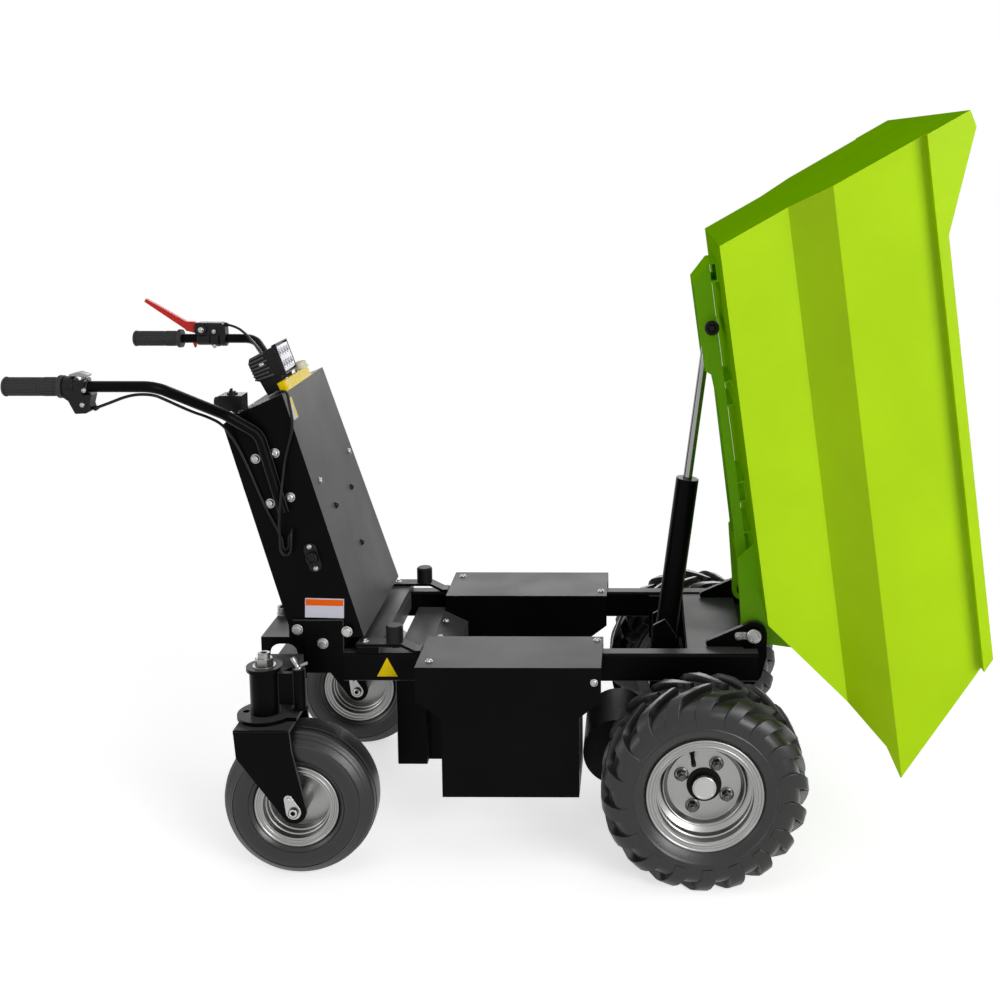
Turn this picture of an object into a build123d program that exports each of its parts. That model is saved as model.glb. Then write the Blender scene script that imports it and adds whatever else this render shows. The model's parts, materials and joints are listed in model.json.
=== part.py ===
"""Walk-behind battery site dumper with its tipping tray raised.

Frame: +X forward (tray side), +Y the machine's left, +Z up, millimetres.
Pieces are drawn with X = 0 at the drive axle, Y = 0 on the centre plane and
Z = 0 on the ground, then moved so that X = 0 is the middle of the length.
"""
import os
from math import atan2, cos, degrees, pi, radians, sin, tan

from build123d import *

os.makedirs("parts", exist_ok=True)

# ---------------------------------------------------------------- driving dimensions
SIDES = (("right", -1), ("left", 1))  # name, sign of Y

# chassis rails: rectangular tube on edge
RAIL_INNER = 176.0
RAIL_WIDTH = 38.0
RAIL_HEIGHT = 60.0
RAIL_TOP = 421.0
RAIL_REAR = -745.0
RAIL_FRONT = 118.0
TUBE_WALL = 3.0

# sheet metal
SHEET = 3.0
PLATE = 8.0
HEAVY_PLATE = 12.0

# drive wheels, 16 inch pneumatic
DRIVE_RADIUS = 205.0
DRIVE_TYRE_WIDTH = 160.0
DRIVE_Y = 335.0
DRIVE_RIM_RADIUS = 116.0
DRIVE_RIM_WIDTH = 136.0
DRIVE_DISC_RECESS = 51.0
DRIVE_DISC_RADIUS = 76.0
DRIVE_BORE_RADIUS = 35.0
DRIVE_CAP_RADIUS = 24.0

# rear swivel casters
CASTER_RADIUS = 155.0
CASTER_TYRE_WIDTH = 121.0
CASTER_Y = 299.0
CASTER_X = -815.0
CASTER_TRAIL = 69.0
CASTER_RIM_RADIUS = 85.0
CASTER_RIM_WIDTH = 105.0
FORK_GAP = 6.0
FORK_CROWN_Z = 316.0

# tipping tray, level sizes measured from the hinge pin
HINGE_X = 112.0
HINGE_Z = 444.0
RAISED_ANGLE = 82.2
TRAY_SHEET = 4.0
FLOOR_Z = 26.0
FLOOR_REAR = -834.0
FLOOR_FRONT = -69.0
FLOOR_HALF = 300.0
KINK_Z = 165.0
FLARE_Z = 245.0
FLARE_HALF = 375.0
RIM_Z = 420.0
RIM_HALF = 387.0
RIM_OUT = 410.0
RIM_TOP = 440.0
REAR_TOP_X = -1026.0
REAR_TOP_Z = 502.0

# tipping cylinder
CYL_FOOT_X = -75.0
CYL_FOOT_Z = 350.0
ROD_PIN_X = -652.0
ROD_PIN_Z = -2.0
BARREL_RADIUS = 25.0
BARREL_LENGTH = 396.0
ROD_RADIUS = 10.0
EYE_RADIUS = 18.0
EYE_WIDTH = 40.0
PIN_RADIUS = 12.0

# battery boxes and their covers
BOX_REAR = -530.0
BOX_FRONT = -251.0
BOX_BOTTOM = 151.0
COVER_REAR = -581.0
COVER_FRONT = -206.0
COVER_TOP = 428.0
COVER_INNER = 131.0
COVER_OUTER = 306.0
SKIRT_SHOULDER = 356.0
SKIRT_BOTTOM = 322.0
CONTROL_REAR = -648.0
CONTROL_TOP = 392.0
CONTROL_HALF = 155.0

# control column
BASE_HALF = 208.0
COLUMN_TOP_HALF = 174.0
COLUMN_FOOT_HALF = BASE_HALF - PLATE
COLUMN_TOP_Z = 961.0
COLUMN_FOOT_Z = 452.0
COLUMN_FOOT_FRONT = -703.0
COLUMN_FOOT_REAR = -852.0
COLUMN_TOP_FRONT = -862.0
COLUMN_TOP_REAR = -961.0
COLUMN_FALL = 43.0  # from the top's front edge to its rear edge
COLUMN_PROFILE = (  # x, z
    (COLUMN_FOOT_FRONT, COLUMN_FOOT_Z),
    (COLUMN_TOP_FRONT, COLUMN_TOP_Z),
    (COLUMN_TOP_REAR, COLUMN_TOP_Z - COLUMN_FALL),
    (COLUMN_TOP_REAR - 25, COLUMN_TOP_Z - COLUMN_FALL - 20),
    (COLUMN_FOOT_REAR, COLUMN_FOOT_Z),
)

# handlebars
BAR_RADIUS = 11.0
BAR_Y = 334.0
BAR_Z = 1005.0
BAR_END = -1352.0
BAR_BEND = 45.0
GRIP_LENGTH = 116.0
GRIP_RADIUS = 17.0

ORIGIN_X = -402.01  # middle of the overall length, from the drive axle
CLEARANCE = 0.3  # seat clearance between separate soft or curved pieces

HINGE_AXIS = Axis((HINGE_X, 0, HINGE_Z), (0, 1, 0))


def across(y):
    """A plane standing across Y: local x is +X, local y is +Z."""
    return Plane.XZ.offset(-y)


def save(part, name):
    placed = part.translate((-ORIGIN_X, 0, 0))
    placed.label = name
    export_step(placed, f"parts/{name}.step")


def save_raised(part, name):
    """Tray pieces are drawn with the tray level, then tipped about the hinge pin."""
    save(part.rotate(HINGE_AXIS, RAISED_ANGLE), name)


def column_half(z):
    """Half width of the column's outside at height z."""
    share = (COLUMN_TOP_Z - z) / (COLUMN_TOP_Z - COLUMN_FOOT_Z)
    return COLUMN_TOP_HALF + share * (COLUMN_FOOT_HALF - COLUMN_TOP_HALF)


# ---------------------------------------------------------------- chassis frame
def rails():
    length = RAIL_FRONT - RAIL_REAR
    with BuildPart() as tubes:
        with BuildSketch(Plane.YZ.offset(RAIL_REAR)):
            with Locations(*[(sign * (RAIL_INNER + RAIL_WIDTH / 2), RAIL_TOP - RAIL_HEIGHT / 2) for _, sign in SIDES]):
                RectangleRounded(RAIL_WIDTH, RAIL_HEIGHT, 2 * TUBE_WALL)
                RectangleRounded(
                    RAIL_WIDTH - 2 * TUBE_WALL, RAIL_HEIGHT - 2 * TUBE_WALL, TUBE_WALL, mode=Mode.SUBTRACT
                )
        extrude(amount=length)
    return tubes.part


FRONT_TUBE_TOP = 405.0
REAR_TUBE_REAR = -716.0
REAR_TUBE_FRONT = -670.0
FRONT_TUBE_REAR = 66.0
FRONT_TUBE_FRONT = 116.0
CROSS_TUBES = (  # rear x, front x, bottom z, top z
    (REAR_TUBE_REAR, REAR_TUBE_FRONT, RAIL_TOP - 45, RAIL_TOP),
    (FRONT_TUBE_REAR, FRONT_TUBE_FRONT, FRONT_TUBE_TOP - 60, FRONT_TUBE_TOP),
)
CAP_BAR = 14.0


def crossmembers():
    """Tubes between the rails; the rear one carries a flat bar that caps the rails."""
    with BuildPart() as tubes:
        for rear, front, bottom, top in CROSS_TUBES:
            with BuildSketch(across(0)):
                with Locations(((rear + front) / 2, (bottom + top) / 2)):
                    RectangleRounded(front - rear, top - bottom, 2 * TUBE_WALL)
                    RectangleRounded(
                        front - rear - 2 * TUBE_WALL, top - bottom - 2 * TUBE_WALL, TUBE_WALL, mode=Mode.SUBTRACT
                    )
            extrude(amount=RAIL_INNER, both=True)
        with BuildSketch(Plane.XY.offset(RAIL_TOP)):
            with Locations(((REAR_TUBE_REAR + REAR_TUBE_FRONT) / 2, 0)):
                Rectangle(REAR_TUBE_FRONT - REAR_TUBE_REAR, 2 * (RAIL_INNER + RAIL_WIDTH))
        extrude(amount=CAP_BAR)
    return tubes.part


DECK_TOP = 418.0
DECK_REAR = -28.0
DECK_FRONT = 90.0


def deck_plate():
    """Folded plate between the rails, ahead of the cylinder."""
    drop = 50.0
    with BuildPart() as deck:
        with BuildSketch(across(0)):
            with BuildLine():
                Polyline(
                    (DECK_REAR, DECK_TOP - drop),
                    (DECK_REAR, DECK_TOP),
                    (DECK_FRONT, DECK_TOP),
                    (DECK_FRONT, FRONT_TUBE_TOP),
                    (DECK_FRONT - SHEET, FRONT_TUBE_TOP),
                    (DECK_FRONT - SHEET, DECK_TOP - SHEET),
                    (DECK_REAR + SHEET, DECK_TOP - SHEET),
                    (DECK_REAR + SHEET, DECK_TOP - drop),
                    close=True,
                )
            make_face()
        extrude(amount=RAIL_INNER, both=True)
    return deck.part


HINGE_BRACKET_Y = 150.0
HINGE_PIN_RADIUS = 14.0
HINGE_HEAD = 28.0
ARM_GAP = 4.0
ARM_PLATE = 12.0


def hinge_brackets():
    """Beaked plates on the deck and round the front tube, each with its hinge pin."""
    inner_end = HINGE_BRACKET_Y - ARM_GAP - ARM_PLATE - ARM_GAP
    with BuildPart() as brackets:
        for _, sign in SIDES:
            middle = sign * (HINGE_BRACKET_Y + HEAVY_PLATE / 2)
            with BuildSketch(across(middle)):
                with BuildLine():
                    Polyline(
                        (HINGE_X - 97, DECK_TOP),
                        (HINGE_X - 101, DECK_TOP + 6),
                        (HINGE_X - 97, DECK_TOP + 13),
                        (HINGE_X - 16, HINGE_Z + 23),
                        (HINGE_X + HINGE_HEAD, HINGE_Z),
                        (HINGE_X + HINGE_HEAD, FRONT_TUBE_TOP - 10),
                        (HINGE_X + 16, FRONT_TUBE_TOP - 55),
                        (HINGE_X, FRONT_TUBE_TOP - 72),
                        (FRONT_TUBE_REAR + 4, FRONT_TUBE_TOP - 74),
                        (FRONT_TUBE_REAR + 4, FRONT_TUBE_TOP - 60),
                        (FRONT_TUBE_FRONT, FRONT_TUBE_TOP - 60),
                        (FRONT_TUBE_FRONT, FRONT_TUBE_TOP),
                        (DECK_FRONT, FRONT_TUBE_TOP),
                        (DECK_FRONT, DECK_TOP),
                        close=True,
                    )
                make_face()
                with Locations((HINGE_X, HINGE_Z)):
                    Circle(HINGE_HEAD)
            extrude(amount=HEAVY_PLATE / 2, both=True)
            pin_middle = (inner_end + HINGE_BRACKET_Y + HEAVY_PLATE + 8) / 2
            with BuildSketch(across(sign * pin_middle)):
                with Locations((HINGE_X, HINGE_Z)):
                    Circle(HINGE_PIN_RADIUS)
            extrude(amount=pin_middle - inner_end, both=True)
    return brackets.part


CLEVIS_INNER = 34.0
CLEVIS_BASE = 306.0


def cylinder_clevis():
    """Cross plate hung between the rails with the two ears of the cylinder's foot."""
    rear, front = CYL_FOOT_X - 32, CYL_FOOT_X + 46
    with BuildPart() as clevis:
        with BuildSketch(Plane.YZ.offset(rear)):
            with BuildLine():
                Polyline(
                    (-RAIL_INNER, RAIL_TOP - 6),
                    (-RAIL_INNER, CLEVIS_BASE),
                    (RAIL_INNER, CLEVIS_BASE),
                    (RAIL_INNER, RAIL_TOP - 6),
                    (RAIL_INNER - PLATE, RAIL_TOP - 6),
                    (RAIL_INNER - PLATE, CLEVIS_BASE + PLATE),
                    (PLATE - RAIL_INNER, CLEVIS_BASE + PLATE),
                    (PLATE - RAIL_INNER, RAIL_TOP - 6),
                    close=True,
                )
            make_face()
        extrude(amount=front - rear)
        for _, sign in SIDES:
            with BuildSketch(across(sign * (CLEVIS_INNER + PLATE / 2))):
                with BuildLine():
                    Polyline(
                        (rear, CLEVIS_BASE + PLATE / 2),
                        (rear + 8, CYL_FOOT_Z + 70),
                        (rear + 34, CYL_FOOT_Z + 84),
                        (front - 22, CYL_FOOT_Z + 50),
                        (front, CLEVIS_BASE + PLATE / 2),
                        close=True,
                    )
                make_face()
            extrude(amount=PLATE / 2, both=True)
        with BuildSketch(across(0)):
            with Locations((CYL_FOOT_X, CYL_FOOT_Z)):
                Circle(PIN_RADIUS)
        extrude(amount=CLEVIS_INNER + PLATE + 6, both=True)
    return clevis.part


# ---------------------------------------------------------------- buffers
BUFFER_X = -640.0
BUFFER_RADIUS = 18.0
STRAP_TOP = RAIL_TOP + CAP_BAR + 6
STRAP_WIDTH = 34.0
BUFFER_TOP = 477.0
BUFFER_Y = RAIL_INNER + RAIL_WIDTH / 2


def buffer_straps():
    """Flat bars from the cap bar down to the rails, under the rubber buffers."""
    thick = 6.0
    with BuildPart() as straps:
        for _, sign in SIDES:
            with BuildSketch(across(sign * BUFFER_Y)):
                with BuildLine() as centre:
                    Polyline(
                        (REAR_TUBE_REAR, STRAP_TOP - thick / 2),
                        (BUFFER_X + 16, STRAP_TOP - thick / 2),
                        (BUFFER_X + 44, RAIL_TOP + thick / 2),
                        (BUFFER_X + 54, RAIL_TOP + thick / 2),
                    )
                    offset(amount=thick / 2, side=Side.BOTH)
                make_face()
            extrude(amount=STRAP_WIDTH / 2, both=True)
    return straps.part


def buffers():
    with BuildPart() as rubber:
        with BuildSketch(Plane.XY.offset(STRAP_TOP + CLEARANCE)):
            with Locations(*[(BUFFER_X, sign * BUFFER_Y) for _, sign in SIDES]):
                Circle(BUFFER_RADIUS)
        extrude(amount=BUFFER_TOP - STRAP_TOP - CLEARANCE)
        chamfer(rubber.edges().group_by(Axis.Z)[-1], 3)
    return rubber.part


# ---------------------------------------------------------------- batteries and covers
def battery_covers():
    """Folded lids over the rails with a shaped skirt on each side, open at the ends."""
    half = (COVER_OUTER - COVER_INNER) / 2
    with BuildPart() as covers:
        for _, sign in SIDES:
            middle = sign * (COVER_INNER + COVER_OUTER) / 2
            with BuildSketch(across(middle)):
                with BuildLine():
                    Polyline(
                        (COVER_REAR, COVER_TOP),
                        (COVER_FRONT, COVER_TOP),
                        (COVER_FRONT, SKIRT_SHOULDER),
                        (BOX_FRONT, SKIRT_BOTTOM),
                        (BOX_REAR, SKIRT_BOTTOM),
                        (COVER_REAR, SKIRT_SHOULDER),
                        close=True,
                    )
                make_face()
            extrude(amount=half, both=True)
            with BuildSketch(across(middle)):
                with Locations(((COVER_REAR + COVER_FRONT) / 2, (COVER_TOP - SHEET + SKIRT_BOTTOM - 1) / 2)):
                    Rectangle(COVER_FRONT - COVER_REAR + 2, COVER_TOP - SHEET - SKIRT_BOTTOM + 1)
            extrude(amount=half - SHEET, both=True, mode=Mode.SUBTRACT)
    return covers.part


def battery_boxes():
    """Open-topped sheet boxes that hang below the rails between the covers' skirts."""
    width = COVER_OUTER - COVER_INNER - 2 * SHEET
    top = RAIL_TOP - RAIL_HEIGHT
    length = BOX_FRONT - BOX_REAR
    places = [((BOX_REAR + BOX_FRONT) / 2, sign * (COVER_INNER + COVER_OUTER) / 2) for _, sign in SIDES]
    with BuildPart() as boxes:
        with BuildSketch(Plane.XY.offset(BOX_BOTTOM)):
            with Locations(*places):
                Rectangle(length, width)
        extrude(amount=top - BOX_BOTTOM)
        with BuildSketch(Plane.XY.offset(BOX_BOTTOM + SHEET)):
            with Locations(*places):
                Rectangle(length - 2 * SHEET, width - 2 * SHEET)
        extrude(amount=top - BOX_BOTTOM, mode=Mode.SUBTRACT)
    return boxes.part


def batteries():
    """One plain block per battery box, standing on the box's floor."""
    margin = 8.0
    height = 195.0
    with BuildPart() as blocks:
        with BuildSketch(Plane.XY.offset(BOX_BOTTOM + SHEET)):
            with Locations(*[((BOX_REAR + BOX_FRONT) / 2, s * (COVER_INNER + COVER_OUTER) / 2) for _, s in SIDES]):
                Rectangle(
                    BOX_FRONT - BOX_REAR - 2 * (SHEET + margin), COVER_OUTER - COVER_INNER - 2 * (2 * SHEET + margin)
                )
        extrude(amount=height)
    return blocks.part


def control_box():
    """Closed box for the drive controller, behind the batteries, with a bent lid."""
    with BuildPart() as box:
        with BuildSketch(across(0)):
            with BuildLine():
                Polyline(
                    (CONTROL_REAR, BOX_BOTTOM),
                    (CONTROL_REAR, CONTROL_TOP),
                    (CONTROL_REAR + 64, CONTROL_TOP),
                    (BOX_REAR, CONTROL_TOP - 26),
                    (BOX_REAR, BOX_BOTTOM),
                    close=True,
                )
            make_face()
        extrude(amount=CONTROL_HALF, both=True)
        for _, sign in SIDES:
            with BuildSketch(Plane.XY.offset(BOX_BOTTOM - 1)):
                with BuildLine():
                    Polyline(
                        (COVER_REAR - 3, sign * COVER_INNER),
                        (BOX_REAR + 1, sign * COVER_INNER),
                        (BOX_REAR + 1, sign * (CONTROL_HALF + 1)),
                        (COVER_REAR - 3, sign * (CONTROL_HALF + 1)),
                        close=True,
                    )
                make_face()
            extrude(amount=CONTROL_TOP - BOX_BOTTOM + 2, mode=Mode.SUBTRACT)
        fillet(box.edges().filter_by(Axis.Z).group_by(Axis.X)[0], 5)
        offset(amount=-SHEET, openings=box.faces().sort_by(Axis.Z)[0])
    return box.part


# ---------------------------------------------------------------- drive unit
def transaxle():
    """Differential housing with its axle tubes and stub shafts."""
    tube_end = DRIVE_Y - DRIVE_TYRE_WIDTH / 2 - 8
    shaft_end = DRIVE_Y + DRIVE_RIM_WIDTH / 2 - 40
    with BuildPart() as axle:
        with BuildSketch(Plane.YZ):
            with BuildLine():
                Polyline(
                    (0, DRIVE_RADIUS),
                    (0, DRIVE_RADIUS + 85),
                    (30, DRIVE_RADIUS + 85),
                    (70, DRIVE_RADIUS + 48),
                    (76, DRIVE_RADIUS + 34),
                    (tube_end, DRIVE_RADIUS + 34),
                    (tube_end, DRIVE_RADIUS + SHAFT_RADIUS),
                    (shaft_end, DRIVE_RADIUS + SHAFT_RADIUS),
                    (shaft_end, DRIVE_RADIUS),
                    close=True,
                )
            make_face()
        revolve(axis=Axis((0, 0, DRIVE_RADIUS), (0, 1, 0)))
        mirror(about=Plane.XZ)
    return axle.part


def axle_hangers():
    """Plates under the rails that carry the axle tubes."""
    with BuildPart() as hangers:
        for _, sign in SIDES:
            with BuildSketch(across(sign * (RAIL_INNER + RAIL_WIDTH / 2))):
                with BuildLine():
                    Polyline(
                        (-70, RAIL_TOP - RAIL_HEIGHT),
                        (70, RAIL_TOP - RAIL_HEIGHT),
                        (44, DRIVE_RADIUS - 20),
                        (-44, DRIVE_RADIUS - 20),
                        close=True,
                    )
                make_face()
                with Locations((0, DRIVE_RADIUS)):
                    Circle(34 + CLEARANCE, mode=Mode.SUBTRACT)
            extrude(amount=HEAVY_PLATE / 2, both=True)
    return hangers.part


MOTOR_X = -177.0
MOTOR_Z = 186.0
MOTOR_RADIUS = 72.0
MOTOR_LENGTH = 170.0


def drive_motor():
    """Traction motor beside the differential, its axis across the machine."""
    with BuildPart() as motor:
        with BuildSketch(across(0)):
            with Locations((MOTOR_X, MOTOR_Z)):
                Circle(MOTOR_RADIUS)
        extrude(amount=MOTOR_LENGTH)
        with BuildSketch(across(0)):
            with BuildLine():
                Polyline(
                    (MOTOR_X, MOTOR_Z - 50),
                    (-60, DRIVE_RADIUS - 40),
                    (-60, DRIVE_RADIUS + 40),
                    (MOTOR_X, MOTOR_Z + 50),
                    close=True,
                )
            make_face()
            with Locations((0, DRIVE_RADIUS)):
                Circle(85.05, mode=Mode.SUBTRACT)
        extrude(amount=28, both=True)
    return motor.part


# ---------------------------------------------------------------- wheels
def hub_inner():
    """Distance of the wheel disc's inner face from the centre plane."""
    return DRIVE_Y + DRIVE_RIM_WIDTH / 2 - DRIVE_DISC_RECESS - 6


RIM_FLANGE = 15.0
CASTER_FLANGE = 12.0
DRIVE_FACETS = 24
CASTER_FACETS = 30
LUG_COUNT = 18
LUG_LINE = (  # sideways from the middle, forward at the top of the wheel, width
    (4.0, 42.6, 17.0),
    (60.0, -27.0, 30.0),
    (80.0, -37.0, 33.6),
)


def wheel_ring(x, radius, middle, section):
    """Revolves a closed section of (sideways, radial) points about the wheel's axle."""
    with BuildPart() as ring:
        with BuildSketch(Plane.YZ.offset(x)):
            with BuildLine():
                Polyline(*[(middle + side, radius + radial) for side, radial in section], close=True)
            make_face()
        revolve(axis=Axis((x, 0, radius), (0, 1, 0)))
    return ring.part


def both_sides(half_section):
    """A closed section from its right half, given from the bead out to the crown."""
    return [(-side, radial) for side, radial in half_section] + [*reversed(half_section)]


def faceted_ring(section, sides):
    """A closed section carried round the Y axis in flat facets, corners at the stated radii."""
    half = pi / sides
    reach = 2 * max(radial for _, radial in section)
    with BuildPart() as sector:
        with BuildSketch(Plane.YZ):
            with BuildLine():
                Polyline(*[(side, radial * cos(half)) for side, radial in section], close=True)
            make_face()
        extrude(amount=reach * tan(half), both=True)
        with BuildSketch(Plane.XZ):
            with BuildLine():
                Polyline(
                    (0, 0),
                    (reach * sin(half), reach * cos(half)),
                    (-reach * sin(half), reach * cos(half)),
                    close=True,
                )
            make_face()
        extrude(amount=reach, both=True, mode=Mode.INTERSECT)
    with BuildPart() as ring:
        add([sector.part.rotate(Axis.Y, 360 * (turn + 0.5) / sides) for turn in range(sides)])
    return ring.part


def lug_bars():
    """Raked bars over the tread, one row a side, the rows half a pitch apart."""
    low, high = 0.68 * DRIVE_RADIUS, 1.05 * DRIVE_RADIUS
    front = [(forward + width / 2, side) for side, forward, width in LUG_LINE]
    back = [(forward - width / 2, side) for side, forward, width in LUG_LINE]
    with BuildPart() as bar:
        with BuildSketch(Plane.XY.offset(low)):
            with BuildLine():
                Polyline(*front, *reversed(back), close=True)
            make_face()
        extrude(amount=high - low)
    other = mirror(bar.part, about=Plane.XZ)
    pitch = 360 / LUG_COUNT
    right_row = [bar.part.rotate(Axis.Y, turn * pitch) for turn in range(LUG_COUNT)]
    left_row = [other.rotate(Axis.Y, (turn + 0.5) * pitch) for turn in range(LUG_COUNT)]
    return right_row + left_row


def drive_tyre(sign):
    """Carcass with two rows of raked lugs that run out over its shoulders."""
    half = DRIVE_TYRE_WIDTH / 2
    bead = (DRIVE_RIM_RADIUS - RIM_FLANGE + CLEARANCE) / cos(pi / DRIVE_FACETS)
    carcass = (
        (50.0, bead),
        (half - 2, bead + 36),
        (half - 2, DRIVE_RADIUS - 41),
        (50.0, DRIVE_RADIUS - 15),
    )
    tips = (
        (half + 4, 0.73 * DRIVE_RADIUS),
        (half + 4, DRIVE_RADIUS - 42),
        (half - 20, DRIVE_RADIUS),
    )
    with BuildPart() as tyre:
        add(faceted_ring(both_sides(tips), DRIVE_FACETS))
        add(lug_bars(), mode=Mode.INTERSECT)
        add(faceted_ring(both_sides(carcass), DRIVE_FACETS))
    return tyre.part.translate((0, sign * DRIVE_Y, DRIVE_RADIUS))


def caster_tyre(sign):
    """Plain round-shouldered tyre; its fine ribs are too shallow to change its form."""
    half = CASTER_TYRE_WIDTH / 2
    bead = (CASTER_RIM_RADIUS - CASTER_FLANGE + CLEARANCE) / cos(pi / CASTER_FACETS)
    section = (
        (38.0, bead),
        (half, CASTER_RADIUS - 50),
        (half - 2, CASTER_RADIUS - 28),
        (0.6 * half, CASTER_RADIUS),
    )
    ring = faceted_ring(both_sides(section), CASTER_FACETS)
    return ring.translate((CASTER_X, sign * CASTER_Y, CASTER_RADIUS))


def drive_rim(sign):
    """Pressed rim: flanges, bead seats, drop centre, recessed disc and its hub."""
    edge = DRIVE_RIM_WIDTH / 2
    disc = edge - DRIVE_DISC_RECESS
    flange = DRIVE_RIM_RADIUS
    seat = DRIVE_RIM_RADIUS - RIM_FLANGE
    drop = DRIVE_DISC_RADIUS + 4
    section = (  # sideways from the rim's middle, radial
        (edge, flange),
        (edge - 6, flange),
        (edge - 6, seat),
        (disc + 8, seat),
        (disc - 2, drop),
        (-edge + 36, drop),
        (-edge + 24, seat),
        (-edge + 6, seat),
        (-edge + 6, flange),
        (-edge, flange),
        (-edge, seat - 5),
        (-edge + 22, seat - 5),
        (-edge + 33, drop - 5),
        (disc - 6, drop - 5),
        (disc - 6, DRIVE_BORE_RADIUS),
        (disc, DRIVE_BORE_RADIUS),
        (disc, drop - 5),
        (disc + 12, seat - 5),
        (edge, seat - 5),
    )
    return wheel_ring(0, DRIVE_RADIUS, sign * DRIVE_Y, [(sign * side, radial) for side, radial in section])


SHAFT_RADIUS = 17.0
RUNNING_FIT = 0.05


def drive_hub(sign):
    """Hub flange behind the disc, its spigot through the bore and the closed cap."""
    back = hub_inner() - 12
    face = DRIVE_Y + DRIVE_RIM_WIDTH / 2
    section = (
        (back - 26, SHAFT_RADIUS + RUNNING_FIT),
        (back - 26, 28),
        (back, 32),
        (back, 66),
        (hub_inner(), 66),
        (hub_inner(), DRIVE_BORE_RADIUS - CLEARANCE),
        (hub_inner() + 8, DRIVE_BORE_RADIUS - CLEARANCE),
        (hub_inner() + 8, DRIVE_CAP_RADIUS),
        (face - 33, DRIVE_CAP_RADIUS),
        (face - 33, 0),
        (face - 38, 0),
        (face - 38, SHAFT_RADIUS + RUNNING_FIT),
    )
    return wheel_ring(0, DRIVE_RADIUS, 0, [(sign * side, radial) for side, radial in section])


def caster_rim(sign):
    edge = CASTER_RIM_WIDTH / 2
    flange = CASTER_RIM_RADIUS
    seat = flange - CASTER_FLANGE
    hub = 22.0
    hub_half = CASTER_TYRE_WIDTH / 2
    section = (
        (edge, flange),
        (edge - 5, flange),
        (edge - 5, seat),
        (-edge + 5, seat),
        (-edge + 5, flange),
        (-edge, flange),
        (-edge, seat - 5),
        (-10, seat - 14),
        (-10, hub),
        (-hub_half, hub),
        (-hub_half, PIN_RADIUS - 2),
        (hub_half, PIN_RADIUS - 2),
        (hub_half, hub),
        (10, hub),
        (10, seat - 14),
        (edge, seat - 5),
    )
    return wheel_ring(CASTER_X, CASTER_RADIUS, sign * CASTER_Y, [(sign * s, r) for s, r in section])


# ---------------------------------------------------------------- casters
SWIVEL_X = CASTER_X - CASTER_TRAIL
HEAD_RADIUS = 30.0
HEAD_BOTTOM = FORK_CROWN_Z + 2 * PLATE + 0.5
HEAD_TOP = 422.0
CAP_RADIUS = 36.0
CAP_TOP = HEAD_TOP + PLATE
LOCK_RADIUS = 13.0
LOCK_X = SWIVEL_X + 69.0
LOCK_TOP = HEAD_TOP + 1
ARM_BOTTOM = 350.0
ARM_TOP = 415.0
ARM_REAR = SWIVEL_X - 21
ARM_FRONT = SWIVEL_X + 54
KING_RADIUS = 12.0


def caster_arms():
    """Box arms out from the channel's ends, with the head tubes and the lock pins' tubes."""
    with BuildPart() as arms:
        for _, sign in SIDES:
            with BuildSketch(Plane.XY.offset(ARM_BOTTOM)):
                with BuildLine():
                    Polyline(
                        (ARM_REAR, sign * CASTER_Y),
                        (ARM_REAR, sign * (BASE_HALF - PLATE)),
                        (ARM_FRONT, sign * (BASE_HALF - PLATE)),
                        (ARM_FRONT, sign * (CASTER_Y - CAP_RADIUS)),
                        (SWIVEL_X + 28, sign * CASTER_Y),
                        close=True,
                    )
                make_face()
                with Locations(((SWIVEL_X + LOCK_X) / 2, sign * CASTER_Y)):
                    Rectangle(LOCK_X - SWIVEL_X, LOCK_RADIUS)
            extrude(amount=ARM_TOP - ARM_BOTTOM)
            for x, radius, bottom, top in (
                (SWIVEL_X, HEAD_RADIUS, HEAD_BOTTOM, HEAD_TOP),
                (SWIVEL_X, CAP_RADIUS, HEAD_TOP, CAP_TOP),
                (LOCK_X, LOCK_RADIUS, HEAD_BOTTOM + 6, LOCK_TOP),
            ):
                with BuildSketch(Plane.XY.offset(bottom)):
                    with Locations((x, sign * CASTER_Y)):
                        Circle(radius)
                extrude(amount=top - bottom)
            with BuildSketch(Plane.XY.offset(HEAD_BOTTOM)):
                with Locations((SWIVEL_X, sign * CASTER_Y)):
                    Circle(KING_RADIUS + RUNNING_FIT)
            extrude(amount=CAP_TOP - HEAD_BOTTOM, mode=Mode.SUBTRACT)
    return arms.part


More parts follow.
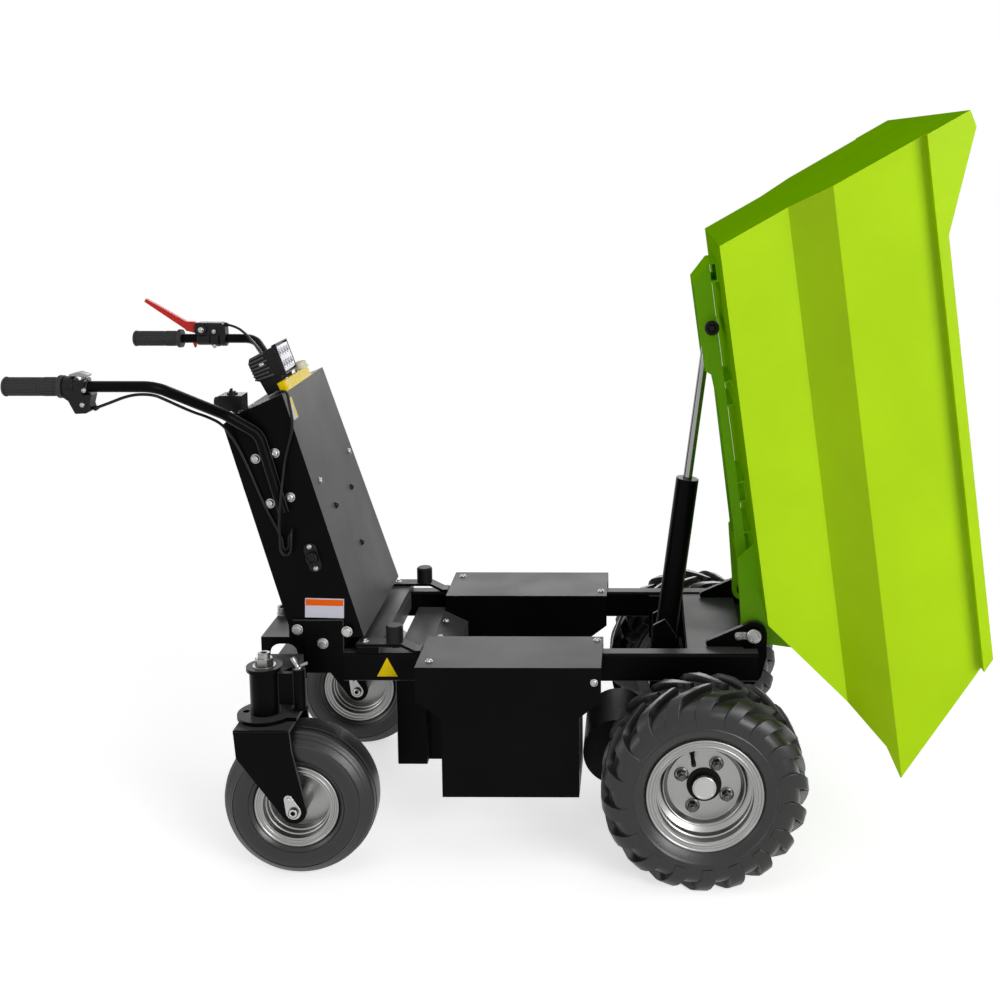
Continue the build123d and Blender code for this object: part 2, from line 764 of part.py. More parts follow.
def caster_fork(sign):
    """Swivel plate with its lock hole, kingpin and nut, crown, two legs and the wheel's axle."""
    leg_inner = CASTER_TYRE_WIDTH / 2 + FORK_GAP
    leg_outer = leg_inner + PLATE
    crown_top = FORK_CROWN_Z + PLATE
    with BuildPart() as fork:
        with BuildSketch(Plane.XY.offset(crown_top)):
            with Locations((SWIVEL_X, sign * CASTER_Y)):
                Circle(57)
            with Locations(((SWIVEL_X + LOCK_X) / 2, sign * CASTER_Y)):
                Rectangle(LOCK_X - SWIVEL_X, 2 * HEAD_RADIUS)
            with Locations((SWIVEL_X - 40, sign * CASTER_Y)):
                Circle(7, mode=Mode.SUBTRACT)
        extrude(amount=PLATE)
        with BuildSketch(Plane.XY.offset(crown_top)):
            with Locations((SWIVEL_X, sign * CASTER_Y)):
                Circle(KING_RADIUS)
        extrude(amount=CAP_TOP + 26 - crown_top)
        with BuildSketch(Plane.XY.offset(CAP_TOP + 1)):
            with Locations((SWIVEL_X, sign * CASTER_Y)):
                RegularPolygon(radius=KING_RADIUS + 6, side_count=6)
        extrude(amount=14)
        with BuildSketch(Plane.XY.offset(FORK_CROWN_Z)):
            with Locations((SWIVEL_X + 9, sign * CASTER_Y)):
                Rectangle(110, 2 * leg_outer)
        extrude(amount=PLATE)
        for leg in (-1, 1):
            middle = sign * CASTER_Y + leg * (leg_inner + PLATE / 2)
            with BuildSketch(across(middle)):
                with BuildLine():
                    Polyline(
                        (SWIVEL_X - 46, crown_top),
                        (SWIVEL_X + 64, crown_top),
                        (SWIVEL_X + 68, 279),
                        (CASTER_X + 24, CASTER_RADIUS + 6),
                        (CASTER_X - 22, CASTER_RADIUS - 12),
                        (SWIVEL_X - 42, 267),
                        close=True,
                    )
                make_face()
                with Locations((CASTER_X, CASTER_RADIUS)):
                    Circle(25)
            extrude(amount=PLATE / 2, both=True)
        with BuildSketch(across(sign * CASTER_Y)):
            with Locations((CASTER_X, CASTER_RADIUS)):
                Circle(PIN_RADIUS - 2 - CLEARANCE)
        extrude(amount=leg_outer + 8, both=True)
    return fork.part


# ---------------------------------------------------------------- control column
def column_block(inset, drop):
    """The column's solid form, its walls drawn in and its foot lowered along their slope."""
    (foot_x, foot_z), (top_x, top_z), rear_top, (corner_x, corner_z), (heel_x, heel_z) = COLUMN_PROFILE
    front_lean = (foot_x - top_x) / (top_z - foot_z)
    rear_lean = (heel_x - corner_x) / (corner_z - heel_z)
    low = foot_z - drop
    with BuildPart() as block:
        with BuildSketch(across(0)):
            with BuildLine():
                Polyline(
                    (foot_x + front_lean * drop, low),
                    (top_x, top_z),
                    rear_top,
                    (corner_x, corner_z),
                    (heel_x + rear_lean * drop, low),
                    close=True,
                )
            make_face()
            if inset:
                offset(amount=-inset, kind=Kind.INTERSECTION)
        extrude(amount=2 * COLUMN_FOOT_HALF, both=True)
        with BuildSketch(Plane.YZ.offset(corner_x - PLATE)):
            with BuildLine():
                Polyline(
                    (-column_half(low), low),
                    (column_half(low), low),
                    (column_half(top_z), top_z),
                    (-column_half(top_z), top_z),
                    close=True,
                )
            make_face()
            if inset:
                offset(amount=-inset, kind=Kind.INTERSECTION)
        extrude(amount=foot_x - corner_x + 4 * PLATE, mode=Mode.INTERSECT)
    return block.part


def column_shell():
    """Folded sheet housing, open at the foot."""
    with BuildPart() as shell:
        add(column_block(0, 0))
        add(column_block(SHEET, 4 * SHEET), mode=Mode.SUBTRACT)
    return shell.part


CRADLE_BOTTOM = 377.0
CRADLE_TOP = 490.0
CRADLE_REAR = -825.0
CRADLE_LEDGE = 32.0  # how far the plates' upper part runs back over the channel


def column_cradle():
    """Side plates and floor that carry the column behind the rails' ends."""
    with BuildPart() as cradle:
        for _, sign in SIDES:
            with BuildSketch(across(sign * (BASE_HALF - PLATE / 2))):
                with BuildLine():
                    Polyline(
                        (CRADLE_REAR, CRADLE_BOTTOM),
                        (RAIL_REAR, CRADLE_BOTTOM),
                        (RAIL_REAR, CRADLE_TOP),
                        (CRADLE_REAR - CRADLE_LEDGE + 8, CRADLE_TOP),
                        (CRADLE_REAR - CRADLE_LEDGE, CRADLE_TOP - 12),
                        (CRADLE_REAR - CRADLE_LEDGE, COLUMN_FOOT_Z),
                        (CRADLE_REAR, COLUMN_FOOT_Z),
                        close=True,
                    )
                make_face()
            extrude(amount=PLATE / 2, both=True)
        with BuildSketch(Plane.XY.offset(CRADLE_BOTTOM)):
            with Locations(((CRADLE_REAR + REAR_TUBE_REAR) / 2, 0)):
                Rectangle(REAR_TUBE_REAR - CRADLE_REAR, 2 * RAIL_INNER)
            with Locations(((CRADLE_REAR + RAIL_REAR) / 2, 0)):
                Rectangle(RAIL_REAR - CRADLE_REAR, 2 * BASE_HALF)
        extrude(amount=PLATE)
    return cradle.part


CHANNEL_REAR = -918.0
CHANNEL_BOTTOM = COLUMN_FOOT_Z - 90
CHANNEL_WALL = 5.0
CHANNEL_END = BASE_HALF - PLATE
STUD_X = -907.0
STUD_Y = -60.0
STUD_RADIUS = 13.0


def rear_channel():
    """Channel, open to the rear, its ends closed by plates with a large hole, and a domed stud."""
    with BuildPart() as channel:
        with BuildSketch(across(0)):
            with BuildLine():
                Polyline(
                    (CHANNEL_REAR, CHANNEL_BOTTOM),
                    (CRADLE_REAR, CHANNEL_BOTTOM),
                    (CRADLE_REAR, COLUMN_FOOT_Z),
                    (CHANNEL_REAR, COLUMN_FOOT_Z),
                    (CHANNEL_REAR, COLUMN_FOOT_Z - CHANNEL_WALL),
                    (CRADLE_REAR - CHANNEL_WALL, COLUMN_FOOT_Z - CHANNEL_WALL),
                    (CRADLE_REAR - CHANNEL_WALL, CHANNEL_BOTTOM + CHANNEL_WALL),
                    (CHANNEL_REAR, CHANNEL_BOTTOM + CHANNEL_WALL),
                    close=True,
                )
            make_face()
        extrude(amount=CHANNEL_END, both=True)
        for _, sign in SIDES:
            with BuildSketch(across(sign * (CHANNEL_END - CHANNEL_WALL / 2))):
                with Locations(((CHANNEL_REAR + CRADLE_REAR) / 2, (CHANNEL_BOTTOM + COLUMN_FOOT_Z) / 2)):
                    Rectangle(CRADLE_REAR - CHANNEL_REAR, COLUMN_FOOT_Z - CHANNEL_BOTTOM)
                    RectangleRounded(58, 60, 22, mode=Mode.SUBTRACT)
            extrude(amount=CHANNEL_WALL / 2, both=True)
        with BuildSketch(Plane.XY.offset(COLUMN_FOOT_Z)):
            with Locations((STUD_X, STUD_Y)):
                Circle(STUD_RADIUS)
        extrude(amount=10)
        with BuildSketch(Plane.XY.offset(COLUMN_FOOT_Z + 10)):
            with Locations((STUD_X, STUD_Y)):
                Circle(STUD_RADIUS)
        extrude(amount=10, taper=35)
    return channel.part


def top_face(x):
    """Height of the column's sloping top at x."""
    return COLUMN_TOP_Z - (COLUMN_TOP_FRONT - x) * COLUMN_FALL / (COLUMN_TOP_FRONT - COLUMN_TOP_REAR)


LAMP_Y = -25.0
LAMP_WIDTH = 100.0
LAMP_BODY = (  # x, z: rear top, front top, front bottom, rear bottom
    (-964.0, 1012.0),
    (-879.0, 1066.0),
    (-858.0, 1004.0),
    (-944.0, 963.0),
)
LAMP_FOOT_REAR = -922.0
LAMP_FOOT_FRONT = -888.0


def work_lamp():
    """Work lamp tilted up at the front, on a block bolted to the column's top."""
    with BuildPart() as lamp:
        with BuildSketch(across(LAMP_Y)):
            with BuildLine():
                Polyline(*LAMP_BODY, close=True)
            make_face()
        extrude(amount=LAMP_WIDTH / 2, both=True)
        fillet(lamp.edges().filter_by(Axis.Y), 4)
        with BuildSketch(across(LAMP_Y)):
            with BuildLine():
                Polyline(
                    (LAMP_FOOT_REAR, top_face(LAMP_FOOT_REAR)),
                    (LAMP_FOOT_FRONT, top_face(LAMP_FOOT_FRONT)),
                    (LAMP_FOOT_FRONT, top_face(LAMP_FOOT_FRONT) + 44),
                    (LAMP_FOOT_REAR - 18, top_face(LAMP_FOOT_REAR) + 36),
                    close=True,
                )
            make_face()
        extrude(amount=LAMP_WIDTH / 2 - PLATE, both=True)
    return lamp.part


STOP_X = -867.0
STOP_Y = -37.5
STOP_LENGTH = 195.0
STOP_DEPTH = 18.0
STOP_HEIGHT = 22.0
STOP_DOME_Y = 82.0  # from the box's middle
STOP_DOME_RADIUS = 15.0


def stop_switch():
    """Long switch box on the front edge of the column's sloping top, with a round button."""
    slope = atan2(COLUMN_FALL, COLUMN_TOP_FRONT - COLUMN_TOP_REAR)
    seat = Plane(origin=(STOP_X, STOP_Y, top_face(STOP_X)), x_dir=(cos(slope), 0, sin(slope)),
                 z_dir=(-sin(slope), 0, cos(slope)))
    with BuildPart() as switch:
        with BuildSketch(seat):
            RectangleRounded(STOP_DEPTH, STOP_LENGTH, 4)
        extrude(amount=STOP_HEIGHT)
        with BuildSketch(seat.offset(STOP_HEIGHT)):
            with Locations((0, STOP_DOME_Y)):
                Circle(STOP_DOME_RADIUS)
        extrude(amount=10)
        with BuildSketch(seat.offset(STOP_HEIGHT + 10)):
            with Locations((0, STOP_DOME_Y)):
                Circle(STOP_DOME_RADIUS)
        extrude(amount=7, taper=40)
    return switch.part


KEY_Y = -150.0
KEY_WIDTH = 44.0
KEY_FRONT = -947.0
KEY_REAR = -994.0
KEY_TOP = 957.0
KEY_BOTTOM = 925.0


def key_switch():
    """Small switch housing over the rear edge of the column's top, with its cable gland."""
    with BuildPart() as housing:
        with BuildSketch(across(KEY_Y)):
            with BuildLine():
                Polyline(
                    (KEY_FRONT, top_face(KEY_FRONT)),
                    (KEY_FRONT, KEY_TOP),
                    (KEY_REAR, KEY_TOP),
                    (KEY_REAR, KEY_BOTTOM),
                    (COLUMN_TOP_REAR - PLATE, KEY_BOTTOM),
                    (COLUMN_TOP_REAR, top_face(COLUMN_TOP_REAR)),
                    close=True,
                )
            make_face()
        extrude(amount=KEY_WIDTH / 2, both=True)
        with BuildSketch(Plane.YZ.offset(KEY_REAR - 14)):
            with Locations((KEY_Y, (KEY_TOP + KEY_BOTTOM) / 2)):
                Circle(9)
        extrude(amount=14)
    return housing.part


# ---------------------------------------------------------------- handlebars
def bar_route(sign):
    """Centre line of a handlebar: grip run, drop to the column, run down its side."""
    low, high = 718.0, 880.0
    beside = BAR_RADIUS + CLEARANCE
    return [
        (BAR_END, sign * BAR_Y, BAR_Z),
        (BAR_END + 289, sign * BAR_Y, BAR_Z),
        (BAR_END + 384, sign * (BAR_Y - 119), BAR_Z - 79),
        (BAR_END + 444, sign * (column_half(high) + beside), high),
        (BAR_END + 490, sign * (column_half(low) + beside), low),
    ]


def handlebars():
    with BuildPart() as bars:
        for _, sign in SIDES:
            with BuildLine() as route:
                FilletPolyline(*bar_route(sign), radius=BAR_BEND)
            with BuildSketch(Plane(origin=route.line @ 0, z_dir=route.line % 0)) as tube:
                Circle(BAR_RADIUS)
            sweep(sections=tube.sketch, path=route.line)
    return bars.part


def grips():
    with BuildPart() as pair:
        for _, sign in SIDES:
            with BuildSketch(Plane.YZ.offset(BAR_END - 2)):
                with Locations((sign * BAR_Y, BAR_Z)):
                    Circle(GRIP_RADIUS)
            extrude(amount=GRIP_LENGTH)
            with BuildSketch(Plane.YZ.offset(BAR_END + GRIP_LENGTH - 11)):
                with Locations((sign * BAR_Y, BAR_Z)):
                    Circle(GRIP_RADIUS + 5)
            extrude(amount=9)
            with BuildSketch(Plane.YZ.offset(BAR_END)):
                with Locations((sign * BAR_Y, BAR_Z)):
                    Circle(BAR_RADIUS + CLEARANCE)
            extrude(amount=GRIP_LENGTH, mode=Mode.SUBTRACT)
    return pair.part


THROTTLE_X = BAR_END + GRIP_LENGTH + 4
PERCH_X = BAR_END + GRIP_LENGTH + 37
CLAMP_RADIUS = 18.0


def bar_clamp(x, length, y):
    """A collar round a handlebar, from x forward."""
    with BuildPart() as collar:
        with BuildSketch(Plane.YZ.offset(x)):
            with Locations((y, BAR_Z)):
                Circle(CLAMP_RADIUS)
                Circle(BAR_RADIUS + CLEARANCE, mode=Mode.SUBTRACT)
        extrude(amount=length)
    return collar.part


def throttle():
    """Thumb throttle clamped inboard of the right grip: housing below, thumb lever above."""
    length = 46.0
    with BuildPart() as unit:
        add(bar_clamp(THROTTLE_X, length, -BAR_Y))
        with BuildSketch(Plane.YZ.offset(THROTTLE_X + 2)):
            with Locations((-BAR_Y, BAR_Z - 31)):
                RectangleRounded(26, 38, 6)
        extrude(amount=length)
        with BuildSketch(Plane.YZ.offset(THROTTLE_X + 12)):
            with Locations((-BAR_Y, BAR_Z + 20)):
                RectangleRounded(12, 14, 4)
        extrude(amount=16)
    return unit.part


def brake_perch():
    """Clamp and housing of the brake lever on the left bar."""
    length = 67.0
    with BuildPart() as perch:
        add(bar_clamp(PERCH_X, length, BAR_Y))
        with BuildSketch(Plane.YZ.offset(PERCH_X)):
            with Locations((BAR_Y, BAR_Z + 27)):
                RectangleRounded(28, 27, 5)
        extrude(amount=length)
    return perch.part


def brake_lever():
    """Long blade that rises rearward from the brake's housing."""
    with BuildPart() as lever:
        with BuildSketch(across(BAR_Y)):
            with BuildLine():
                Polyline(
                    (PERCH_X, BAR_Z + 20),
                    (PERCH_X, BAR_Z + 39),
                    (PERCH_X - 27, BAR_Z + 42),
                    (PERCH_X - 122, BAR_Z + 97),
                    (PERCH_X - 126, BAR_Z + 90),
                    (PERCH_X - 31, BAR_Z + 24),
                    close=True,
                )
            make_face()
        extrude(amount=6, both=True)
    return lever.part


CABLE_RADIUS = 3.0
CABLE_BEND = 6.0
THROTTLE_CABLE = (
    (-1183, -334, 962),
    (-1160, -334, 970),
    (-1111, -334, 989.5),
    (-1069, -332, 989.5),
    (-1050, -320, 977),
    (-1016, -270, 943),
    (-1000, -235, 927),
    (-979, -205, 906),
    (-963, -186, 873),
    (-937, -186, 818),
    (-903, -190.5, 731),
    (-880, -193, 687),
    (-867, -194, 660),
    (-866, -196, 640),
    (-852, -200, 640),
    (-852, -200, 672),
    (-852, -189.3, 672),
)
LAMP_LEAD = (
    (-895, -67.6, 952.3),
    (-891, -120, 952.6),
    (-880, -150, 961),
    (-853, -170, 968),
    (-846, -184, 945),
    (-840, -188, 918),
    (-840, -188, 888),
    (-857, -188, 830),
    (-860, -193, 803),
    (-860, -214, 768),
    (-867, -215, 705),
    (-868, -208, 672),
    (-868, -208, 630),
    (-846, -206, 630),
    (-846, -206, 682),
    (-846, -188.9, 682),
)
BRAKE_CABLE = (
    (-1130.5, 334, 1039),
    (-1104, 323, 1036),
    (-1074, 300, 1021),
    (-1053, 270, 1011),
    (-1014, 200, 999),
    (-968, 128, 965),
    (-955, 112, 945),
    (-955, 112, 922.5),
)


def control_cables():
    """Cables of the throttle, the lamp and the brake, each into the column."""
    with BuildPart() as cables:
        for points in (THROTTLE_CABLE, LAMP_LEAD, BRAKE_CABLE):
            with BuildLine() as route:
                FilletPolyline(*points, radius=CABLE_BEND)
            with BuildSketch(Plane(origin=route.line @ 0, z_dir=route.line % 0)) as section:
                Circle(CABLE_RADIUS)
            sweep(sections=section.sketch, path=route.line)
    return cables.part


# ---------------------------------------------------------------- tray
def tray_section(inset, drop):
    """Cross section of the tray's outside as (half width, height), drawn in by inset."""
    flare = inset * tan(radians(22.5))
    return (
        (FLOOR_HALF - inset, FLOOR_Z - drop),
        (FLOOR_HALF - inset, KINK_Z + flare),
        (FLARE_HALF - inset, FLARE_Z + flare),
        (RIM_HALF - inset, RIM_Z + inset),
        (RIM_OUT - inset, RIM_Z + inset),
        (RIM_OUT - inset, REAR_TOP_Z + 40),
    )


def tray_prism(inset, drop):
    """The tray's section drawn out along its whole length."""
    half = [(y, HINGE_Z + z) for y, z in tray_section(inset, drop)]
    with BuildPart() as prism:
        with BuildSketch(Plane.YZ.offset(HINGE_X + REAR_TOP_X - 60)):
            with BuildLine():
                Polyline(*half, *[(-y, z) for y, z in reversed(half)], close=True)
            make_face()
        extrude(amount=400 - REAR_TOP_X)
    return prism.part


def level(points):
    """Points measured from the hinge pin, in the frame of the level tray."""
    return [(HINGE_X + x, HINGE_Z + z) for x, z in points]


WALL_TOP = (190.0, 225.0)
LIP_TIP = (250.0, 243.0)
RIM_FRONT = (15.0, RIM_TOP)
EAR_FOOT = (FLOOR_REAR + 28, RIM_TOP)
EAR_TOP = (REAR_TOP_X + 31, REAR_TOP_Z + 8)


def tray_sides():
    """Folded sides: upright, flare, upright, rim flange with its lip and the rear ear."""
    with BuildPart() as sides:
        add(tray_prism(0, 0))
        add(tray_prism(TRAY_SHEET, 10), mode=Mode.SUBTRACT)
        with BuildSketch(across(0)):
            with BuildLine():
                Polyline(
                    *level((
                        (FLOOR_REAR, FLOOR_Z),
                        (FLOOR_FRONT, FLOOR_Z),
                        WALL_TOP,
                        LIP_TIP,
                        RIM_FRONT,
                        EAR_FOOT,
                        EAR_TOP,
                        (REAR_TOP_X, REAR_TOP_Z),
                    )),
                    close=True,
                )
            make_face()
        extrude(amount=RIM_OUT + 10, both=True, mode=Mode.INTERSECT)
    return sides.part


def rear_wall_run():
    """How far the leaning rear wall's sheet reaches forward at the floor's top and along X."""
    slope = atan2(FLOOR_REAR - REAR_TOP_X, REAR_TOP_Z - FLOOR_Z)
    along = TRAY_SHEET / cos(slope)
    return along - TRAY_SHEET * tan(slope), along


def tray_floor():
    rear = FLOOR_REAR + rear_wall_run()[0]
    with BuildPart() as floor:
        with BuildSketch(Plane.XY.offset(HINGE_Z + FLOOR_Z)):
            with Locations((HINGE_X + (rear + FLOOR_FRONT) / 2, 0)):
                Rectangle(FLOOR_FRONT - rear, 2 * (FLOOR_HALF - TRAY_SHEET))
        extrude(amount=TRAY_SHEET)
    return floor.part


def tray_wall(points):
    """A bent sheet across the tray, its outside along the points, cut to the sides."""
    with BuildPart() as wall:
        with BuildSketch(across(0)):
            with BuildLine():
                Polyline(*level(points), close=True)
            make_face()
        extrude(amount=RIM_OUT, both=True)
        add(tray_prism(TRAY_SHEET, 10), mode=Mode.INTERSECT)
    return wall.part


def tray_rear_wall():
    at_floor, along = rear_wall_run()
    return tray_wall((
        (FLOOR_REAR, FLOOR_Z),
        (REAR_TOP_X, REAR_TOP_Z),
        (REAR_TOP_X + along, REAR_TOP_Z),
        (FLOOR_REAR + at_floor, FLOOR_Z + TRAY_SHEET),
        (FLOOR_REAR + at_floor, FLOOR_Z),
    ))


def tray_front_wall():
    rise = atan2(WALL_TOP[1] - FLOOR_Z, WALL_TOP[0] - FLOOR_FRONT)
    lift = TRAY_SHEET / cos(rise)
    return tray_wall((
        (FLOOR_FRONT, FLOOR_Z),
        WALL_TOP,
        LIP_TIP,
        (LIP_TIP[0], LIP_TIP[1] + TRAY_SHEET),
        (WALL_TOP[0] - 2, WALL_TOP[1] + TRAY_SHEET),
        (FLOOR_FRONT, FLOOR_Z + lift),
    ))


BEAM_HALF = 95.0
BEAM_TOP = 10.0
STUB_INNER = EYE_WIDTH / 2 + 8
BEAM_PROFILE = (  # x, z of the level tray
    (-787.0, BEAM_TOP),
    (-150.0, BEAM_TOP),
    (-150.0, -12.0),
    (-490.0, -8.0),
    (-550.0, -13.0),
    (-562.0, -28.0),
    (-749.0, -28.0),
)
BEAM_CORE = (  # what the side and end plates stand round
    (-772.0, BEAM_TOP + 1),
    (-772.0, 8.0),
    (-741.0, -21.0),
    (-741.0, -60.0),
    (-158.0, -60.0),
    (-158.0, BEAM_TOP + 1),
)
CROSS_RIBS = (  # rear x, front x of the level tray
    (-787.0, -745.0),
    (-535.0, -480.0),
    (-316.0, -270.0),
    (-205.0, -145.0),
)


def tray_beam():
    """Two long plates with end plates, hung from hat-shaped ribs under the floor, and pin stubs."""
    with BuildPart() as beam:
        with BuildSketch(across(0)):
            with BuildLine():
                Polyline(*level(BEAM_PROFILE), close=True)
            make_face()
        extrude(amount=BEAM_HALF, both=True)
        with BuildSketch(across(0)):
            with BuildLine():
                Polyline(*level(BEAM_CORE), close=True)
            make_face()
        extrude(amount=BEAM_HALF - PLATE, both=True, mode=Mode.SUBTRACT)
        for rear, front in CROSS_RIBS:
            middle = HINGE_X + (rear + front) / 2
            rib_height = FLOOR_Z - BEAM_TOP
            with BuildSketch(across(0)):
                with Locations((middle, HINGE_Z + BEAM_TOP + rib_height / 2)):
                    Rectangle(front - rear, rib_height)
                with Locations((middle, HINGE_Z + BEAM_TOP + (rib_height - TRAY_SHEET) / 2)):
                    Rectangle(front - rear - 2 * TRAY_SHEET, rib_height - TRAY_SHEET, mode=Mode.SUBTRACT)
            extrude(amount=BEAM_HALF, both=True)
        for _, sign in SIDES:
            stub_middle = (STUB_INNER + BEAM_HALF + 10) / 2
            with BuildSketch(across(sign * stub_middle)):
                with Locations(*level(((ROD_PIN_X, ROD_PIN_Z),))):
                    Circle(PIN_RADIUS)
            extrude(amount=stub_middle - STUB_INNER, both=True)
    return beam.part


def hinge_arms():
    """Arms under the floor and front wall that turn on the hinge pins."""
    outer = HINGE_BRACKET_Y - ARM_GAP
    with BuildPart() as arms:
        for _, sign in SIDES:
            with BuildSketch(across(sign * (outer - ARM_PLATE / 2))):
                with BuildLine():
                    Polyline(
                        *level((
                            (-190, FLOOR_Z),
                            (FLOOR_FRONT, FLOOR_Z),
                            (FLOOR_FRONT + 117, FLOOR_Z + 89),
                            (46, 82),
                            (18, -16),
                            (0, -26),
                            (-30, -22),
                            (-160, -14),
                        )),
                        close=True,
                    )
                make_face()
                with Locations(*level(((0, 0),))):
                    Circle(26)
                    Circle(HINGE_PIN_RADIUS + 0.5, mode=Mode.SUBTRACT)
            extrude(amount=ARM_PLATE / 2, both=True)
    return arms.part


# ---------------------------------------------------------------- tipping cylinder
def raised(x, z):
    """A point of the level tray, in the machine's frame with the tray raised."""
    turn = radians(RAISED_ANGLE)
    return (HINGE_X + x * cos(turn) + z * sin(turn), HINGE_Z - x * sin(turn) + z * cos(turn))


def cylinder_plane():
    """Plane at the foot pin whose local z runs along the cylinder."""
    eye_x, eye_z = raised(ROD_PIN_X, ROD_PIN_Z)
    return Plane(origin=(CYL_FOOT_X, 0, CYL_FOOT_Z), x_dir=(0, 1, 0),
                 z_dir=(eye_x - CYL_FOOT_X, 0, eye_z - CYL_FOOT_Z))


def cylinder_length():
    eye_x, eye_z = raised(ROD_PIN_X, ROD_PIN_Z)
    return ((eye_x - CYL_FOOT_X) ** 2 + (eye_z - CYL_FOOT_Z) ** 2) ** 0.5


def cylinder_barrel():
    with BuildPart() as barrel:
        with BuildSketch(across(0)):
            with Locations((CYL_FOOT_X, CYL_FOOT_Z)):
                Circle(BARREL_RADIUS)
        extrude(amount=CLEVIS_INNER - 4, both=True)
        with BuildSketch(cylinder_plane()):
            Circle(BARREL_RADIUS)
        extrude(amount=BARREL_LENGTH)
        with BuildSketch(cylinder_plane().offset(BARREL_LENGTH + 1)):
            Circle(ROD_RADIUS + CLEARANCE)
        extrude(amount=-(BARREL_LENGTH - 80), mode=Mode.SUBTRACT)
        with BuildSketch(across(0)):
            with Locations((CYL_FOOT_X, CYL_FOOT_Z)):
                Circle(PIN_RADIUS + CLEARANCE)
        extrude(amount=CLEVIS_INNER, both=True, mode=Mode.SUBTRACT)
    return barrel.part


def cylinder_rod():
    start = BARREL_LENGTH - 40
    with BuildPart() as rod:
        with BuildSketch(cylinder_plane().offset(start)):
            Circle(ROD_RADIUS)
        extrude(amount=cylinder_length() - start)
        with BuildSketch(across(0)):
            with Locations(raised(ROD_PIN_X, ROD_PIN_Z)):
                Circle(EYE_RADIUS)
        extrude(amount=EYE_WIDTH / 2, both=True)
        with BuildSketch(across(0)):
            with Locations(raised(ROD_PIN_X, ROD_PIN_Z)):
                Circle(PIN_RADIUS)
        extrude(amount=EYE_WIDTH / 2, both=True, mode=Mode.SUBTRACT)
    return rod.part


# ---------------------------------------------------------------- all pieces
for side_name, side_sign in SIDES:
    save(caster_fork(side_sign), f"caster_fork_{side_name}")
    save(caster_tyre(side_sign), f"caster_tyre_{side_name}")
    save(caster_rim(side_sign), f"caster_rim_{side_name}")
    save(drive_tyre(side_sign), f"drive_tyre_{side_name}")
    save(drive_rim(side_sign), f"drive_rim_{side_name}")
    save(drive_hub(side_sign), f"drive_hub_{side_name}")

save(rails(), "rails")
save(crossmembers(), "crossmembers")
save(deck_plate(), "deck_plate")
save(hinge_brackets(), "hinge_brackets")
save(cylinder_clevis(), "cylinder_clevis")
save(buffer_straps(), "buffer_straps")
save(buffers(), "buffers")
save(battery_covers(), "battery_covers")
save(battery_boxes(), "battery_boxes")
save(batteries(), "batteries")
save(control_box(), "control_box")
save(transaxle(), "transaxle")
save(axle_hangers(), "axle_hangers")
save(drive_motor(), "drive_motor")
save(column_shell(), "column_shell")
save(column_cradle(), "column_cradle")
save(rear_channel(), "rear_channel")
save(caster_arms(), "caster_arms")
save(work_lamp(), "work_lamp")
save(stop_switch(), "stop_switch")
save(key_switch(), "key_switch")
save(handlebars(), "handlebars")
save(grips(), "grips")
save(throttle(), "throttle")
save(brake_perch(), "brake_perch")
save(brake_lever(), "brake_lever")
save(control_cables(), "control_cables")
save(cylinder_barrel(), "cylinder_barrel")
save(cylinder_rod(), "cylinder_rod")
save_raised(tray_sides(), "tray_sides")
save_raised(tray_floor(), "tray_floor")
save_raised(tray_rear_wall(), "tray_rear_wall")
save_raised(tray_front_wall(), "tray_front_wall")
save_raised(tray_beam(), "tray_beam")
save_raised(hinge_arms(), "hinge_arms")
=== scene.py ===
import json
import math
import random

import bmesh
import bpy
from mathutils import Matrix, Vector


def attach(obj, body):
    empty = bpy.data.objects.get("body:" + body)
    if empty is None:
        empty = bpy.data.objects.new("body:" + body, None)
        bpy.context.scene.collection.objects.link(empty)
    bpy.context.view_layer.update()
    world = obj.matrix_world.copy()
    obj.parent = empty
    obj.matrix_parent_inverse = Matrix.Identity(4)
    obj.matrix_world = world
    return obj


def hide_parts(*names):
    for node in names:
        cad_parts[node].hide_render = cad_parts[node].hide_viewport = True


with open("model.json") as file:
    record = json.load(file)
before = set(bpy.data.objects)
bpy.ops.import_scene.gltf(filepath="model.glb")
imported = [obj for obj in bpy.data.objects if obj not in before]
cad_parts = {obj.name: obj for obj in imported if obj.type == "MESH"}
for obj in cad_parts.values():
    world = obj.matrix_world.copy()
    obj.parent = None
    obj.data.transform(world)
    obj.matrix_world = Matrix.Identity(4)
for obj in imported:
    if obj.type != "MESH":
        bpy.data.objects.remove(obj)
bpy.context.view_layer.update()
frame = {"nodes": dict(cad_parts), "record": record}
nodes = frame["nodes"]
joints = {joint["name"]: joint for joint in frame["record"]["behaviour"]["joints"]}
random.seed(4)

# places are in mm: X forward from the drive axle, Y to the left, Z up from the ground
axleX = joints["drive_right_turn"]["pos_m"][0]
hinge = joints["bed_tilt"]["pos_m"]
raisedAngle = math.radians(82.2)
sides = (("right", -1), ("left", 1))  # name, sign of Y
upAxis = (0, 0, 1)
aheadAxis = (1, 0, 0)
nearAxis = (0, -1, 0)


def at(x, y, z):
    return Vector((axleX + x / 1000, y / 1000, z / 1000))


def trayAt(u, y, w):
    # u forward and w up from the hinge pin, with the tray level
    c, s = math.cos(raisedAngle), math.sin(raisedAngle)
    return Vector((hinge[0] + (u * c + w * s) / 1000, y / 1000, hinge[2] + (w * c - u * s) / 1000))


# shader groups
def newGroup(name, inputs, outputs):
    # inputs: label and value; outputs: label and kind
    group = bpy.data.node_groups.new(name, "ShaderNodeTree")
    for label, value in inputs.items():
        kind = "NodeSocketColor" if isinstance(value, tuple) else "NodeSocketFloat"
        group.interface.new_socket(label, in_out="INPUT", socket_type=kind).default_value = value
    for label, kind in outputs.items():
        group.interface.new_socket(label, in_out="OUTPUT", socket_type="NodeSocket" + kind)
    return group, group.nodes.new("NodeGroupInput"), group.nodes.new("NodeGroupOutput")


